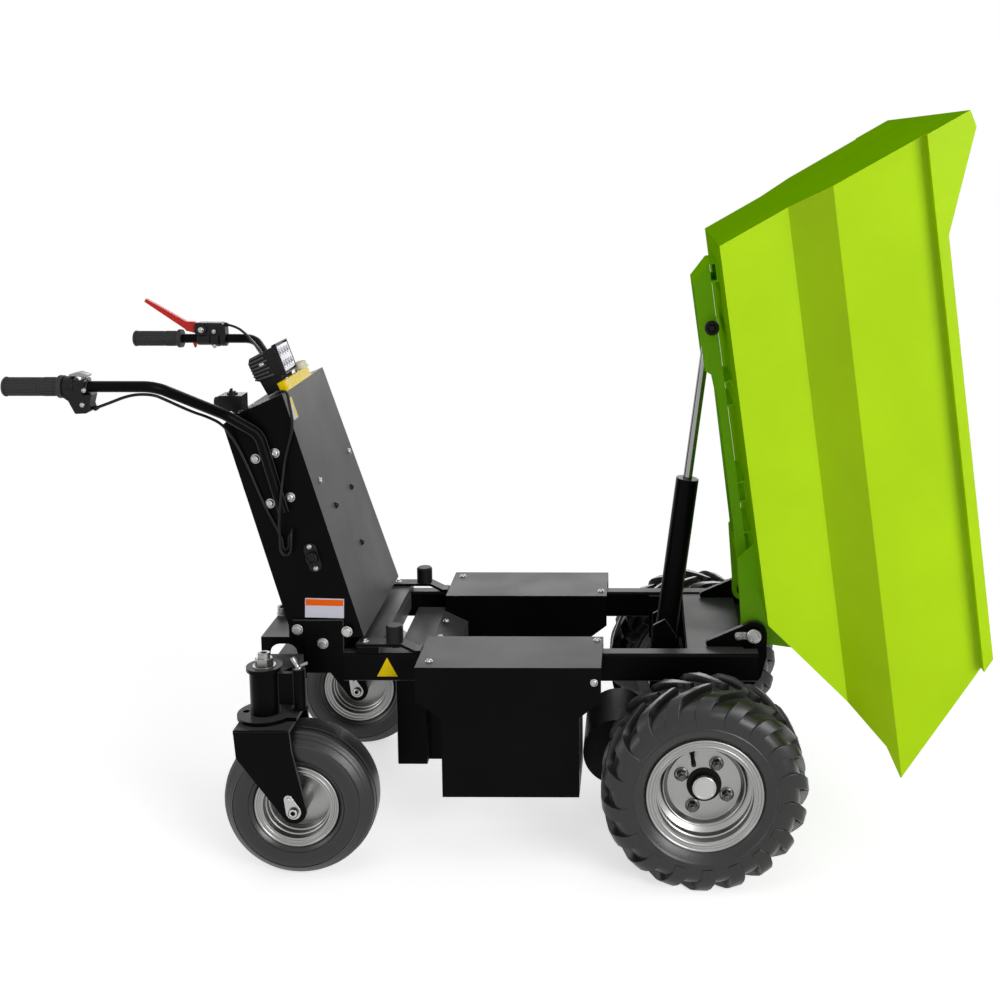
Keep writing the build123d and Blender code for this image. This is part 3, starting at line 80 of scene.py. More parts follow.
def addNode(tree, kind, **values):
    node = tree.nodes.new(kind)
    for key, value in values.items():
        if key in node.inputs.keys():
            node.inputs[key].default_value = value
        else:
            setattr(node, key, value)
    return node


def feed(tree, sockets, *values):
    # a number or a colour is set on its socket, and an output is linked to it
    for socket, value in zip(sockets, values):
        if isinstance(value, (int, float)):
            socket.default_value = value
        elif isinstance(value, tuple):
            socket.default_value = (*value, 1.0)
        else:
            tree.links.new(value, socket)


def noise(tree, coords, **settings):
    node = addNode(tree, "ShaderNodeTexNoise", **settings)
    tree.links.new(coords, node.inputs["Vector"])
    return node


def mapTo(tree, value, low, high, outLow=0.0, outHigh=1.0):
    node = addNode(tree, "ShaderNodeMapRange")
    sockets = [node.inputs[label] for label in ("Value", "From Min", "From Max", "To Min", "To Max")]
    feed(tree, sockets, value, low, high, outLow, outHigh)
    return node.outputs["Result"]


def maths(tree, operation, first, second):
    node = addNode(tree, "ShaderNodeMath", operation=operation)
    feed(tree, node.inputs, first, second)
    return node.outputs["Value"]


def mixColour(tree, factor, first, second):
    node = addNode(tree, "ShaderNodeMix", data_type="RGBA")
    feed(tree, [socket for socket in node.inputs if socket.enabled], factor, first, second)
    return next(socket for socket in node.outputs if socket.enabled)


def makeSpeckle():
    # fine grain for height, and a slow cloud for tone and gloss
    group, source, sink = newGroup(
        "speckle", dict(Grain=900.0, Cloud=6.0), dict(Height="Float", Tone="Float"))
    where = group.nodes.new("ShaderNodeTexCoord").outputs["Object"]
    for size, detail, result in (("Grain", 2.0, "Height"), ("Cloud", 5.0, "Tone")):
        layer = noise(group, where, Detail=detail)
        group.links.new(source.outputs[size], layer.inputs["Scale"])
        group.links.new(layer.outputs["Fac"], sink.inputs[result])
    return group


dusting = dict(
    colour=(0.16, 0.145, 0.12, 1),
    patches=dict(Scale=14.0, Detail=8.0, Roughness=0.65), patchBand=(0.42, 0.7),
    facingUp=(0.2, 1.0, 0.0, 0.6),  # how far a face looks up, and the dust it gets
)


def makeDust():
    # dust gathers near the ground and on faces that look up
    group, source, sink = newGroup(
        "dust", dict(Colour=(0, 0, 0, 1), Dust=dusting["colour"], Amount=0.2, Reach=0.5),
        dict(Colour="Color", Mask="Float"))
    where = group.nodes.new("ShaderNodeTexCoord").outputs["Object"]
    height = addNode(group, "ShaderNodeSeparateXYZ")
    group.links.new(where, height.inputs[0])
    low = mapTo(group, height.outputs["Z"], source.outputs["Reach"], 0.0)
    normal = addNode(group, "ShaderNodeSeparateXYZ")
    group.links.new(group.nodes.new("ShaderNodeNewGeometry").outputs["Normal"], normal.inputs[0])
    upward = mapTo(group, normal.outputs["Z"], *dusting["facingUp"])
    cloud = noise(group, where, **dusting["patches"]).outputs["Fac"]
    patches = mapTo(group, cloud, *dusting["patchBand"])
    spread = maths(group, "MULTIPLY", maths(group, "ADD", low, upward), patches)
    mask = maths(group, "MULTIPLY", spread, source.outputs["Amount"])
    shown = mixColour(group, mask, source.outputs["Colour"], source.outputs["Dust"])
    group.links.new(shown, sink.inputs["Colour"])
    group.links.new(mask, sink.inputs["Mask"])
    return group


speckle = makeSpeckle()
dust = makeDust()
# from and to, of the cloud's tone or of how far a face turns away (for the painted sheen and the dull
# edge)
bands = dict(tone=(0.3, 0.7), paintedSheen=(0.42, 0.72), dullEdge=(0.3, 0.7))


def grey(tone):
    return (tone, tone, tone)


def turnedAway(tree, band, *results):
    facing = addNode(tree, "ShaderNodeLayerWeight", Blend=0.5).outputs["Facing"]
    return mapTo(tree, facing, *bands[band], *results)


def finish(name, colour, roughness, grain, bump, metallic=0.0, toneSpread=0.12, glossSpread=0.08,
           dusty=0.0, reach=0.4, specular=0.5, paintedSheen=0.0, dullEdge=False):
    material = bpy.data.materials.new(name)
    material.use_nodes = True
    tree = material.node_tree
    shader = tree.nodes["Principled BSDF"]
    shader.inputs["Metallic"].default_value = metallic
    shader.inputs["Specular IOR Level"].default_value = specular
    marks = addNode(tree, "ShaderNodeGroup", node_tree=speckle, Grain=grain)
    dark = tuple(channel * (1 - toneSpread) for channel in colour)
    light = tuple(min(1.0, channel * (1 + toneSpread)) for channel in colour)
    tone = mixColour(tree, mapTo(tree, marks.outputs["Tone"], *bands["tone"]), dark, light)
    worn = addNode(tree, "ShaderNodeGroup", node_tree=dust, Amount=dusty, Reach=reach)
    tree.links.new(tone, worn.inputs["Colour"])
    shown = worn.outputs["Colour"]
    if paintedSheen:  # painted sheen: the base colour turns towards grey at a glancing angle
        shown = mixColour(tree, turnedAway(tree, "paintedSheen"), shown, grey(paintedSheen))
    tree.links.new(shown, shader.inputs["Base Color"])
    if dullEdge:  # fresh paint with little shine at a glancing angle
        tree.links.new(turnedAway(tree, "dullEdge", specular, 0.0), shader.inputs["Specular IOR Level"])
    span = (roughness - glossSpread, roughness + glossSpread)
    gloss = mapTo(tree, marks.outputs["Tone"], *bands["tone"], *span)
    dull = maths(tree, "MULTIPLY", worn.outputs["Mask"], 0.5)  # dust takes gloss away
    tree.links.new(maths(tree, "ADD", gloss, dull), shader.inputs["Roughness"])
    relief = addNode(tree, "ShaderNodeBump", Strength=bump, Distance=0.001)
    tree.links.new(marks.outputs["Height"], relief.inputs["Height"])
    tree.links.new(relief.outputs["Normal"], shader.inputs["Normal"])
    return material


trayPaint = dict(roughness=0.5, grain=260, bump=0.05, toneSpread=0.04, specular=0.2, dullEdge=True)
sticker = dict(roughness=0.4, grain=600, bump=0.03, toneSpread=0.03, specular=0.1)
plating = dict(grain=400, bump=0.05, metallic=1.0)
finishes = dict(
    trayGreen=dict(trayPaint, colour=(0.43, 0.7, 0.0)),
    # a darker, greener copy of the tray paint, for painted shade
    trayPaintedShade=dict(trayPaint, colour=(0.25, 0.62, 0.0)),
    # blackCoat, tyreRubber, softRubber and finGrey carry a painted sheen: grey mixed into their colour
    # at a glancing angle
    blackCoat=dict(colour=(0.0018, 0.0018, 0.002), roughness=0.36, grain=1500, bump=0.1,
        toneSpread=0.2, dusty=0.006, specular=0.05, paintedSheen=0.085),
    motorBlack=dict(colour=grey(0.004), roughness=0.5, grain=700, bump=0.2, dusty=0.02, specular=0.1),
    tyreRubber=dict(colour=grey(0.007), roughness=0.3, grain=700, bump=0.2, dusty=0.02, reach=0.3,
        specular=0.5, paintedSheen=0.06),
    zinc=dict(colour=(0.31, 0.31, 0.305), roughness=0.33, grain=160, bump=0.02, metallic=1.0,
        toneSpread=0.06, glossSpread=0.04, dusty=0.02),
    brightZinc=dict(plating, colour=(0.46, 0.46, 0.45), roughness=0.28),
    darkZinc=dict(plating, colour=grey(0.1), roughness=0.25),
    chrome=dict(colour=grey(0.3), roughness=0.1, grain=50, bump=0.01, metallic=1.0, glossSpread=0.03),
    softRubber=dict(colour=grey(0.006), roughness=0.5, grain=1200, bump=0.15, specular=0.2,
        paintedSheen=0.05),
    gripRubber=dict(colour=grey(0.024), roughness=0.55, grain=1200, bump=0.15, specular=0.3),
    cableBlack=dict(colour=grey(0.004), roughness=0.4, grain=800, bump=0.08, specular=0.2),
    plasticBlack=dict(colour=(0.005, 0.005, 0.0055), roughness=0.36, grain=1300, bump=0.12,
        specular=0.2),
    finGrey=dict(colour=(0.06, 0.06, 0.062), roughness=0.36, grain=1300, bump=0.1, specular=0.4,
        paintedSheen=0.3),
    leverRed=dict(colour=(0.55, 0.015, 0.010), roughness=0.32, grain=600, bump=0.04, specular=0.3),
    signYellow=dict(sticker, colour=(0.86, 0.62, 0.002)),
    switchCream=dict(colour=(0.78, 0.76, 0.6), roughness=0.3, grain=600, bump=0.02, toneSpread=0.04,
        specular=0.3),
    signOrange=dict(sticker, colour=(0.85, 0.12, 0.005), bump=0.02, toneSpread=0.04),
    signWhite=dict(sticker, colour=(0.62, 0.62, 0.7), roughness=0.45, bump=0.02),
    lampSilver=dict(colour=(0.26, 0.26, 0.28), roughness=0.3, grain=300, bump=0.05, metallic=0.9),
)
skins = {name: finish(name, **values) for name, values in finishes.items()}
print("finishes made:", len(skins))

dressing = dict(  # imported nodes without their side, and their edge's width in mm
    trayGreen=(("tray_sides", "tray_front_wall"), 0.8),
    # painted shade: the tray's floor, rear wall, beam and hinge arms get the darker copy of its paint
    trayPaintedShade=(("tray_floor", "tray_rear_wall", "tray_beam", "hinge_arms"), 0.8),
    motorBlack=(("transaxle", "drive_motor", "drive_hub"), 1.0),
    tyreRubber=(("drive_tyre", "caster_tyre"), 0.0),
    zinc=(("drive_rim", "caster_rim"), 0.6),
    chrome=(("cylinder_rod",), 0.5),
    softRubber=(("buffers",), 1.0),
    gripRubber=(("grips",), 1.0),
    cableBlack=(("control_cables",), 0.0),
    plasticBlack=(("batteries", "key_switch", "throttle", "brake_perch"), 1.0),
    leverRed=(("brake_lever",), 0.8),
    signYellow=(("stop_switch",), 1.0),
)


def soften(obj, width, angle=30, segments=2):
    if width:
        bevel = obj.modifiers.new("softEdge", "BEVEL")
        bevel.width = width / 1000
        bevel.segments = segments
        bevel.limit_method = "ANGLE"
        bevel.angle_limit = math.radians(angle)
    normals = obj.modifiers.new("evenNormals", "WEIGHTED_NORMAL")
    normals.keep_sharp = True


# the rest wear the black coat
clothes = {stem: (skin, width) for skin, (stems, width) in dressing.items() for stem in stems}
for name, obj in nodes.items():
    stem = name.removesuffix("_right").removesuffix("_left")
    skin, width = clothes.get(stem, ("blackCoat", 0.8))
    for socket in obj.material_slots:
        socket.link = "OBJECT"
        socket.material = skins[skin]
    soften(obj, width)
print("packed nodes dressed:", len(nodes))

view = dict(
    place=(-126.1, -2856.7, 1454.4), yaw=0.0056, pitch=0.1391, sensor=36, lens=47.91,
    shift=(-0.1337, -0.1624),
)


def addObject(name, data):
    obj = bpy.data.objects.new(name, data)
    bpy.context.collection.objects.link(obj)
    return obj


def addCamera():
    data = bpy.data.cameras.new("camera")
    data.sensor_width = view["sensor"]
    data.lens = view["lens"]
    data.shift_x, data.shift_y = view["shift"]
    camera = addObject("camera", data)
    camera.matrix_world = (Matrix.Translation(at(*view["place"]))
                           @ Matrix.Rotation(view["yaw"], 4, "Z")
                           @ Matrix.Rotation(math.pi / 2 - view["pitch"], 4, "X"))
    bpy.context.scene.camera = camera


addCamera()

cables = dict(
    diameter=6.0,
    routes=(
        # throttle cable
        ((-1183, -334, 962), (-1160, -334, 970), (-1111, -334, 989.5), (-1069, -332, 989.5),
            (-1050, -320, 977), (-1016, -270, 943), (-1000, -235, 927), (-979, -205, 906),
            (-963, -186, 873), (-937, -186, 818), (-903, -190.5, 731), (-880, -193, 687),
            (-867, -194, 660), (-866, -196, 640), (-852, -200, 640), (-852, -200, 672),
            (-852, -189.3, 672)),
        # the lamp's lead
        ((-895, -67.6, 952.3), (-891, -120, 952.6), (-880, -150, 961), (-853, -170, 968),
            (-846, -184, 945), (-840, -188, 918), (-840, -188, 888), (-857, -188, 830),
            (-860, -193, 803), (-860, -214, 768), (-867, -215, 705), (-868, -208, 672),
            (-868, -208, 630), (-846, -206, 630), (-846, -206, 682), (-846, -188.9, 682)),
        # brake cable
        ((-1130.5, 334, 1039), (-1104, 323, 1036), (-1074, 300, 1021), (-1053, 270, 1011),
            (-1014, 200, 999), (-968, 128, 965), (-955, 112, 945), (-955, 112, 922.5)),
    ),
)


def addCables():
    data = bpy.data.curves.new("controlCables", "CURVE")
    data.dimensions = "3D"
    data.bevel_depth = cables["diameter"] / 2000
    data.bevel_resolution = 4
    data.resolution_u = 8
    data.use_fill_caps = True
    for route in cables["routes"]:
        spline = data.splines.new("NURBS")
        spline.points.add(len(route) - 1)
        for point, place in zip(spline.points, route):
            point.co = (*at(*place), 1)
        spline.order_u = 3
        spline.use_endpoint_u = True
    cable = addObject("controlCables", data)
    data.materials.append(skins["cableBlack"])
    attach(cable, "chassis")
    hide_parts("control_cables")


addCables()
print("camera and cables ready")


# mesh helpers: sizes in mm; a place is a matrix in metres, its local Z the part's axis
def standing(origin, axis, turn=0.0):
    track = Vector(axis).to_track_quat("Z", "Y").to_matrix().to_4x4()
    return Matrix.Translation(origin) @ track @ Matrix.Rotation(math.radians(turn), 4, "Z")


def spot(x, y, z, axis=upAxis, turn=0.0):
    return standing(at(x, y, z), axis, turn)


def sideSpot(sign, place, tilt=(0, 1, 0), turn=0.0):
    # a place and tilt given for the left side; a sign of -1 mirrors them
    (x, y, z), (ahead, across, up) = place, tilt
    return spot(x, sign * y, z, (ahead, sign * across, up), turn)


def shift(x, y, z):
    return Matrix.Translation((x / 1000, y / 1000, z / 1000))


def facing(origin, right, up):
    # local X to the right, local Y up, local Z out of the drawing
    right, up = Vector(right).normalized(), Vector(up).normalized()
    turn = Matrix((right, up, right.cross(up))).transposed().to_4x4()
    return Matrix.Translation(origin) @ turn


def addPiece(name, form, skin, edge=0.0, angle=40, segments=2, body="chassis"):
    bmesh.ops.recalc_face_normals(form, faces=form.faces)
    mesh = bpy.data.meshes.new(name)
    form.to_mesh(mesh)
    form.free()
    piece = addObject(name, mesh)
    mesh.materials.append(skins[skin])
    mesh.polygons.foreach_set("use_smooth", [True] * len(mesh.polygons))
    mesh.set_sharp_from_angle(angle=math.radians(angle))
    soften(piece, edge, angle, segments)
    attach(piece, body)
    return piece


def polar(radius, angle):
    return radius * math.cos(angle), radius * math.sin(angle)


def newVerts(form, outline, level, place):
    return [form.verts.new(place @ Vector((x / 1000, y / 1000, level / 1000))) for x, y in outline]


def lathe(form, profile, place, segments=24, closed=False):
    # profile: radius and height; a radius of 0 closes the end
    rings = []
    for radius, height in profile:
        turns = [2 * math.pi * k / segments for k in range(segments if radius > 0 else 1)]
        spots = [polar(radius, turn) for turn in turns]
        rings.append(newVerts(form, spots, height, place))
    pairs = list(zip(rings, rings[1:])) + ([(rings[-1], rings[0])] if closed else [])
    for low, high in pairs:
        for k in range(segments):
            corners = (low[k % len(low)], low[(k + 1) % len(low)],
                       high[(k + 1) % len(high)], high[k % len(high)])
            corners = list(dict.fromkeys(corners))
            if len(corners) > 2:
                form.faces.new(corners)


def latheSteps(form, steps, place):
    for profile, segments in steps:
        lathe(form, profile, place, segments)


def wallBetween(form, low, high):
    for k in range(len(low)):
        form.faces.new((low[k - 1], low[k], high[k], high[k - 1]))


def slab(form, outline, depth, place):
    # outline in local X and Y, thickness along local Z
    low, high = (newVerts(form, outline, level, place) for level in (0, depth))
    form.faces.new(reversed(low))
    form.faces.new(high)
    wallBetween(form, low, high)


def sideSlab(form, outline, y, depth):
    # outline in X and Z, and depth along Y from y
    place = Matrix(((1, 0, 0, axleX), (0, 0, 1, y / 1000), (0, 1, 0, 0), (0, 0, 0, 1)))
    slab(form, outline, depth, place)


def roundRect(width, height, radius, steps=5):
    points = []
    for cx, cy, start in ((1, 1, 0), (-1, 1, 90), (-1, -1, 180), (1, -1, 270)):
        for k in range(steps + 1):
            x, y = polar(radius, math.radians(start + 90 * k / steps))
            points.append((cx * (width / 2 - radius) + x, cy * (height / 2 - radius) + y))
    return points


# in shares of the head's radius and height
heads = dict(
    capWasher=1.25, cap=((1, 0), (1, 0.45), (0.86, 0.85), (0.62, 1), (0.5, 1)),
    socket=((0.5, 1), (0.5, 0.35), (0, 0.3)), hexWasher=1.22, hexSeat=0.9, stud=0.52, studTip=0.42,
)


def capBolt(form, place, radius, height, washer=1.5):
    # button head with a hexagon socket
    def scaled(shares):
        return [(radius * share, washer + height * rise) for share, rise in shares]

    wide = radius * heads["capWasher"]
    lathe(form, [(wide, 0), (wide, washer)] + scaled(heads["cap"]), place, 20)
    lathe(form, scaled(heads["socket"]), place, 6)


def hexBolt(form, place, radius, height, washer=1.5, stud=0.0):
    wide, top = radius * heads["hexWasher"], washer + height
    lathe(form, ((0, 0), (wide, 0), (wide, washer), (radius * heads["hexSeat"], washer)), place, 24)
    lathe(form, ((radius, washer - 0.2), (radius, top - 1), (radius - 1.2, top), (0, top)), place, 6)
    if stud:
        thick, tip = radius * heads["stud"], radius * heads["studTip"]
        end = top + stud
        lathe(form, ((thick, top - 0.5), (thick, end - 1), (tip, end), (0, end)), place, 16)


def build(plates=(), turned=(), bolts=()):
    # plates: outline in X and Z, Y, depth; turned: profile, place, axis, segments;
    # bolts: place, axis, and the head's radius, height and washer
    form = bmesh.new()
    for plate in plates:
        sideSlab(form, *plate)
    for profile, place, axis, segments in turned:
        lathe(form, profile, spot(*place, axis), segments)
    for place, axis, head in bolts:
        capBolt(form, spot(*place, axis), *head)
    return form


def bead(form, start, end, radius, lump):
    # a weld: overlapping lumps of slightly uneven thickness along a line
    run = end - start
    steps = max(4, int(run.length / lump)) * 4
    profile = [(0, -radius)]
    for k in range(steps + 1):
        swell = 0.82 + 0.18 * math.cos(math.pi * (k % 4 - 2) / 2) + 0.04 * random.random()
        profile.append((radius * swell, k * (run.length / steps) * 1000))
    profile.append((0, run.length * 1000 + radius))
    lathe(form, profile, standing(start, run), 8)


# control column
column = dict(  # X and half widths at the top, how much they grow to the foot, the top's fall
    topZ=961, height=509, topHalf=174, spread=26, topFront=-862, lean=159, footHalf=208,
    topDepth=99, topFall=43,
)


def columnHalf(z):
    return column["topHalf"] + (column["topZ"] - z) / column["height"] * column["spread"]


def frontX(z):
    return column["topFront"] + (column["topZ"] - z) / column["height"] * column["lean"]


sideLean = math.atan2(column["spread"], column["height"])
frontNormal = Vector((column["height"], 0, column["lean"])).normalized()
frontUp = Vector((-column["lean"], 0, column["height"])).normalized()
topSlope = math.atan2(column["topFall"], column["topDepth"])
topNormal = Vector((-math.sin(topSlope), 0, math.cos(topSlope)))

columnBolts = dict(  # heads: radius, height, washer
    sink=0.2,
    side=((-880, 839), (-920, 827), (-850, 747), (-892, 734)), sideHead=(8, 5.5),  # X and Z
    foot=((-839, 471), (-736, 467), (-787, 441)), footHead=(9.5, 6.5, 2), footTurn=17,
    front=((768, -129), (768, 149)), plugs=((703, 74), (702, -80), (594, 7)),  # Z and Y
    frontHead=(6, 4), frontTurn=20,
)


def boltFront(form, places):
    for z, y in places:
        place = spot(frontX(z), y, z, frontNormal, columnBolts["frontTurn"])
        capBolt(form, place, *columnBolts["frontHead"])


def addColumnBolts():
    form = bmesh.new()
    for sign in (-1, 1):
        lean = (0, sign * math.cos(sideLean), math.sin(sideLean))
        for x, z in columnBolts["side"]:
            y = sign * (columnHalf(z) - columnBolts["sink"])
            capBolt(form, spot(x, y, z, lean), *columnBolts["sideHead"])
        y = column["footHalf"] - columnBolts["sink"]
        for x, z in columnBolts["foot"]:
            place = sideSpot(sign, (x, y, z), turn=columnBolts["footTurn"])
            hexBolt(form, place, *columnBolts["footHead"])
    boltFront(form, columnBolts["front"])
    addPiece("columnBolts", form, "brightZinc", 0.3)
    form = bmesh.new()
    boltFront(form, columnBolts["plugs"])
    addPiece("panelPlugs", form, "plasticBlack", 0.3)


inlet = dict(
    place=(-806, 621), turn=15, gap=0.3, outline=(27, 62, 12), thick=4,
    ring=((13, 3.5), (13, 13), (11.5, 15), (9, 15), (9, 9), (0, 9)),
    screwAt=24, screwHead=(4, 2.5, 0.5),
)


def addChargeSocket():
    x, z = inlet["place"]
    turn = math.radians(inlet["turn"])
    right, up = (math.cos(turn), 0, math.sin(turn)), (-math.sin(turn), 0, math.cos(turn))
    place = facing(at(x, -columnHalf(z) + inlet["gap"], z), right, up)
    form = bmesh.new()
    slab(form, roundRect(*inlet["outline"]), inlet["thick"], place)
    lathe(form, inlet["ring"], place, 28)
    addPiece("chargeSocket", form, "plasticBlack", 0.6)
    form = bmesh.new()
    for side in (-1, 1):
        screw = place @ shift(0, side * inlet["screwAt"], inlet["thick"])
        capBolt(form, screw, *inlet["screwHead"])
    addPiece("chargeSocketScrews", form, "brightZinc", 0.2)


plates = dict(  # blank: finish, corners in X and Z, the face's Y, thickness, lean with the column
    infoPlate=("signWhite", ((-825, 494), (-744, 492), (-743, 533), (-824, 535)), -197, 0.8, True),
    infoBand=("signOrange", ((-823, 519.5), (-745, 518), (-744.5, 531), (-822.5, 533)),
        -197.8, 0.35, True),
    warningPlate=("signYellow", ((-675, 372), (-632, 372), (-653.5, 413)), -214, 0.7, False),
)
plateFit = dict(level=514, sink=0.2)  # Z at which the face's Y is given
panel = dict(y=-140, z=925, sink=-0.0002, outline=(34, 46, 3), thick=0.9,
                  band=(12, 42, 2), bandThick=0.6, bandAt=(9, 0, 0.6))


def addPlates():
    for name, (skin, corners, y, depth, leans) in plates.items():
        form = bmesh.new()
        lift = math.tan(sideLean) if leans else 0
        low, high = (
            [form.verts.new(at(x, y + (z - plateFit["level"]) * lift + out, z)) for x, z in corners]
            for out in (plateFit["sink"], -depth))
        form.faces.new(low)
        form.faces.new(high)
        wallBetween(form, low, high)
        addPiece(name, form, skin, 0.15)
    z = panel["z"]
    seat = at(frontX(z), panel["y"], z) + frontNormal * panel["sink"]
    place = facing(seat, (0, 1, 0), frontUp)
    form = bmesh.new()
    slab(form, roundRect(*panel["outline"]), panel["thick"], place)
    addPiece("panelPlate", form, "signWhite", 0.15)
    form = bmesh.new()
    place = place @ shift(*panel["bandAt"])
    slab(form, roundRect(*panel["band"]), panel["bandThick"], place)
    addPiece("panelPlateBand", form, "signYellow", 0.1)


addColumnBolts()
addChargeSocket()
addPlates()
print("column pieces made")

# work lamp and switches
lamp = dict(
    # rear top, front top, front foot, rear foot
    side=((-964, 1016), (-901, 1049), (-880, 987), (-945, 966)),
    foot=((-940, 972), (-893, 990), (-888, 953), (-922, 938)), footY=(-67, 84),
    nearY=-75, farY=15, inset=3,
    # in shares: back from the lens, and down from the top
    body=((0.06, 0.02), (0.9, 0.02), (1, 0.2), (0.97, 0.93), (0.9, 0.99), (0.06, 0.99)),
    bezel=(-0.02, 0.13), bezelSides=(-0.02, 1), bezelTop=(-0.03, 0.02), bezelFoot=(0.98, 1.02),
    rib=((0.9, 0.02), (0.96, 0.06), (1.01, 0.22), (0.985, 0.9), (0.95, 0.9)),
    ribs=7, ribAt=8, ribPitch=11.5,
    finFrom=(0.45, 0.49, 0.42, 0.49, 0.42, 0.49, 0.37), finTo=(0.9,) + (0.99,) * 6,
    finAt=0.04, finPitch=0.138, finWidth=0.055, finDepth=3,
    lens=(81, 56, 3), lensThick=1.2, lensSink=-0.0005, diodesY=(-29, -9.7, 9.7, 29), diodesZ=(-13, 13),
    diode=((9.2, -0.3), (8.8, 0.7), (4.5, 0.1), (3.2, 1), (1.5, 1.4), (0, 1.5)),
    screwAt=(0.62, 0.42), screwInset=2.8, screwHead=(4.5, 2.6, 0.6),
)


def lampPoint(back, down):
    rearTop, frontTop, frontFoot, rearFoot = (Vector((*corner, 0)) for corner in lamp["side"])
    place = frontTop.lerp(rearTop, back).lerp(frontFoot.lerp(rearFoot, back), down)
    return (place.x, place.y)


def lampSlab(form, shares, y, depth):
    sideSlab(form, [lampPoint(*pair) for pair in shares], y, depth)


def lampPatch(form, backs, downs, y, depth):
    (back0, back1), (down0, down1) = backs, downs
    lampSlab(form, ((back0, down0), (back1, down0), (back1, down1), (back0, down1)), y, depth)


def addWorkLamp():
    near, far, inset = lamp["nearY"], lamp["farY"], lamp["inset"]
    form = bmesh.new()
    lampSlab(form, lamp["body"], near + inset, far - near - 2 * inset)
    sideSlab(form, lamp["foot"], *lamp["footY"])
    for y in (near, far - inset):
        lampPatch(form, lamp["bezel"], lamp["bezelSides"], y, inset)
    for edge in ("bezelTop", "bezelFoot"):
        lampPatch(form, lamp["bezel"], lamp[edge], near, far - near)
    for k in range(lamp["ribs"]):
        lampSlab(form, lamp["rib"], near + lamp["ribAt"] + k * lamp["ribPitch"], inset)
    piece = addPiece("lampHousing", form, "plasticBlack", 0.6)
    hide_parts("work_lamp")
    form = bmesh.new()
    for y, out in ((near + inset, -1), (far - inset, 1)):
        for k, run in enumerate(zip(lamp["finFrom"], lamp["finTo"])):
            down = lamp["finAt"] + k * lamp["finPitch"]
            lampPatch(form, run, (down, down + lamp["finWidth"]), y, out * lamp["finDepth"])
    addPiece("lampFins", form, "finGrey", 0.5)
    (topX, topZ), (footX, footZ) = lampPoint(0, 0.5), lampPoint(0, 0.9)
    down = Vector((footX - topX, 0, footZ - topZ)).normalized()
    out = Vector((-down.z, 0, down.x))
    place = facing(at(topX, (near + far) / 2, topZ) + out * lamp["lensSink"], (0, 1, 0), -down)
    form = bmesh.new()
    slab(form, roundRect(*lamp["lens"]), lamp["lensThick"], place)
    for y in lamp["diodesY"]:
        for z in lamp["diodesZ"]:
            lathe(form, lamp["diode"], place @ shift(y, z, lamp["lensThick"]), 20)
    addPiece("lampLens", form, "lampSilver", 0.3)
    form = bmesh.new()
    x, z = lampPoint(*lamp["screwAt"])
    for y, out in ((near + lamp["screwInset"], -1), (far - lamp["screwInset"], 1)):
        capBolt(form, spot(x, y, z, (0, out, 0)), *lamp["screwHead"])
    addPiece("lampScrews", form, "brightZinc", 0.2)


button = dict(
    seat=(-867, 44.5, 958.8), boxHeight=22,
    dome=((17, -0.5), (17, 3), (15.4, 4), (15.4, 10), (14.6, 13), (12.4, 15.6), (8, 17.6), (0, 18.6)),
    screws=(-85.5, 4.5, 94.5),  # Y of each screw
    screwLift=0.0219, screwHead=(3.2, 1.6, 0.4),
)


def addStopButton():
    x, y, z = button["seat"]
    form = bmesh.new()
    place = standing(at(x, y, z) + topNormal * button["boxHeight"] / 1000, topNormal)
    lathe(form, button["dome"], place, 40)
    addPiece("stopButton", form, "switchCream", 0.3, 60)
    form = bmesh.new()
    for y in button["screws"]:
        place = standing(at(x, y, z) + topNormal * button["screwLift"], topNormal)
        capBolt(form, place, *button["screwHead"])
    addPiece("stopScrews", form, "brightZinc", 0.1)


switch = dict(
    collar=(
        (((12.5, -1), (12.5, 5), (11.5, 6)), (-994, -150, 941), (-1, 0, 0), 6),
        (((11, 5.5), (11, 9), (9.6, 14.3), (5, 15.2), (0, 15.2)), (-994, -150, 941), (-1, 0, 0), 20),
        (((0, -1), (11, -1), (11, 3), (9.5, 4), (7, 4), (7, 6.5), (0, 6.5)),
            (-972, -150, 957), upAxis, 24),
    ),
    key=((-8, 5), (8, 5), (8.5, 8), (6.5, 12), (-6.5, 12), (-8.5, 8)),
    keyAt=(-973.1, -150, 957), keyThick=2.2,
    tab=(((-955, 918), (-946, 922), (-943, 929), (-953, 926)), -174, 2),
    screws=((-952, -170, 921), (-940, -112, 927)), screwLift=0.0002, screwHead=(3.6, 2.2, 0.8),
)


def addKeySwitch():
    addPiece("keyCollar", build(turned=switch["collar"]), "plasticBlack", 0.4)
    form = bmesh.new()
    place = facing(at(*switch["keyAt"]), nearAxis, upAxis)
    slab(form, switch["key"], switch["keyThick"], place)
    addPiece("key", form, "plasticBlack", 0.6)
    form = build([switch["tab"]])
    for place in switch["screws"]:
        seat = at(*place) + topNormal * switch["screwLift"]
        capBolt(form, standing(seat, topNormal), *switch["screwHead"])
    addPiece("keyScrews", form, "brightZinc", 0.15)


addWorkLamp()
addStopButton()
addKeySwitch()
print("lamp and switches made")

# handlebar grips and controls
grip = dict(
    end=-1352, y=334, z=1005, radius=17, ribs=20, ribDepth=1.9, ribSink=0.6,
    ribRuns=((4, 68, 1.5, 0), (74, 99, 1.1, 2.6)),  # start, end, half width, shift sideways
    bandsAt=(70.5, 102), bandHalf=(1.6, 1), bandRadius=18.3,
    cap=((12.5, -1.6), (17.6, -1.2), (19.3, 0.5), (19.3, 3), (17.2, 4.2)),
    flange=((17.2, 103), (21.4, 104.5), (22.6, 108), (21.8, 111.5), (18.4, 113.6), (16.4, 114.2)),
)


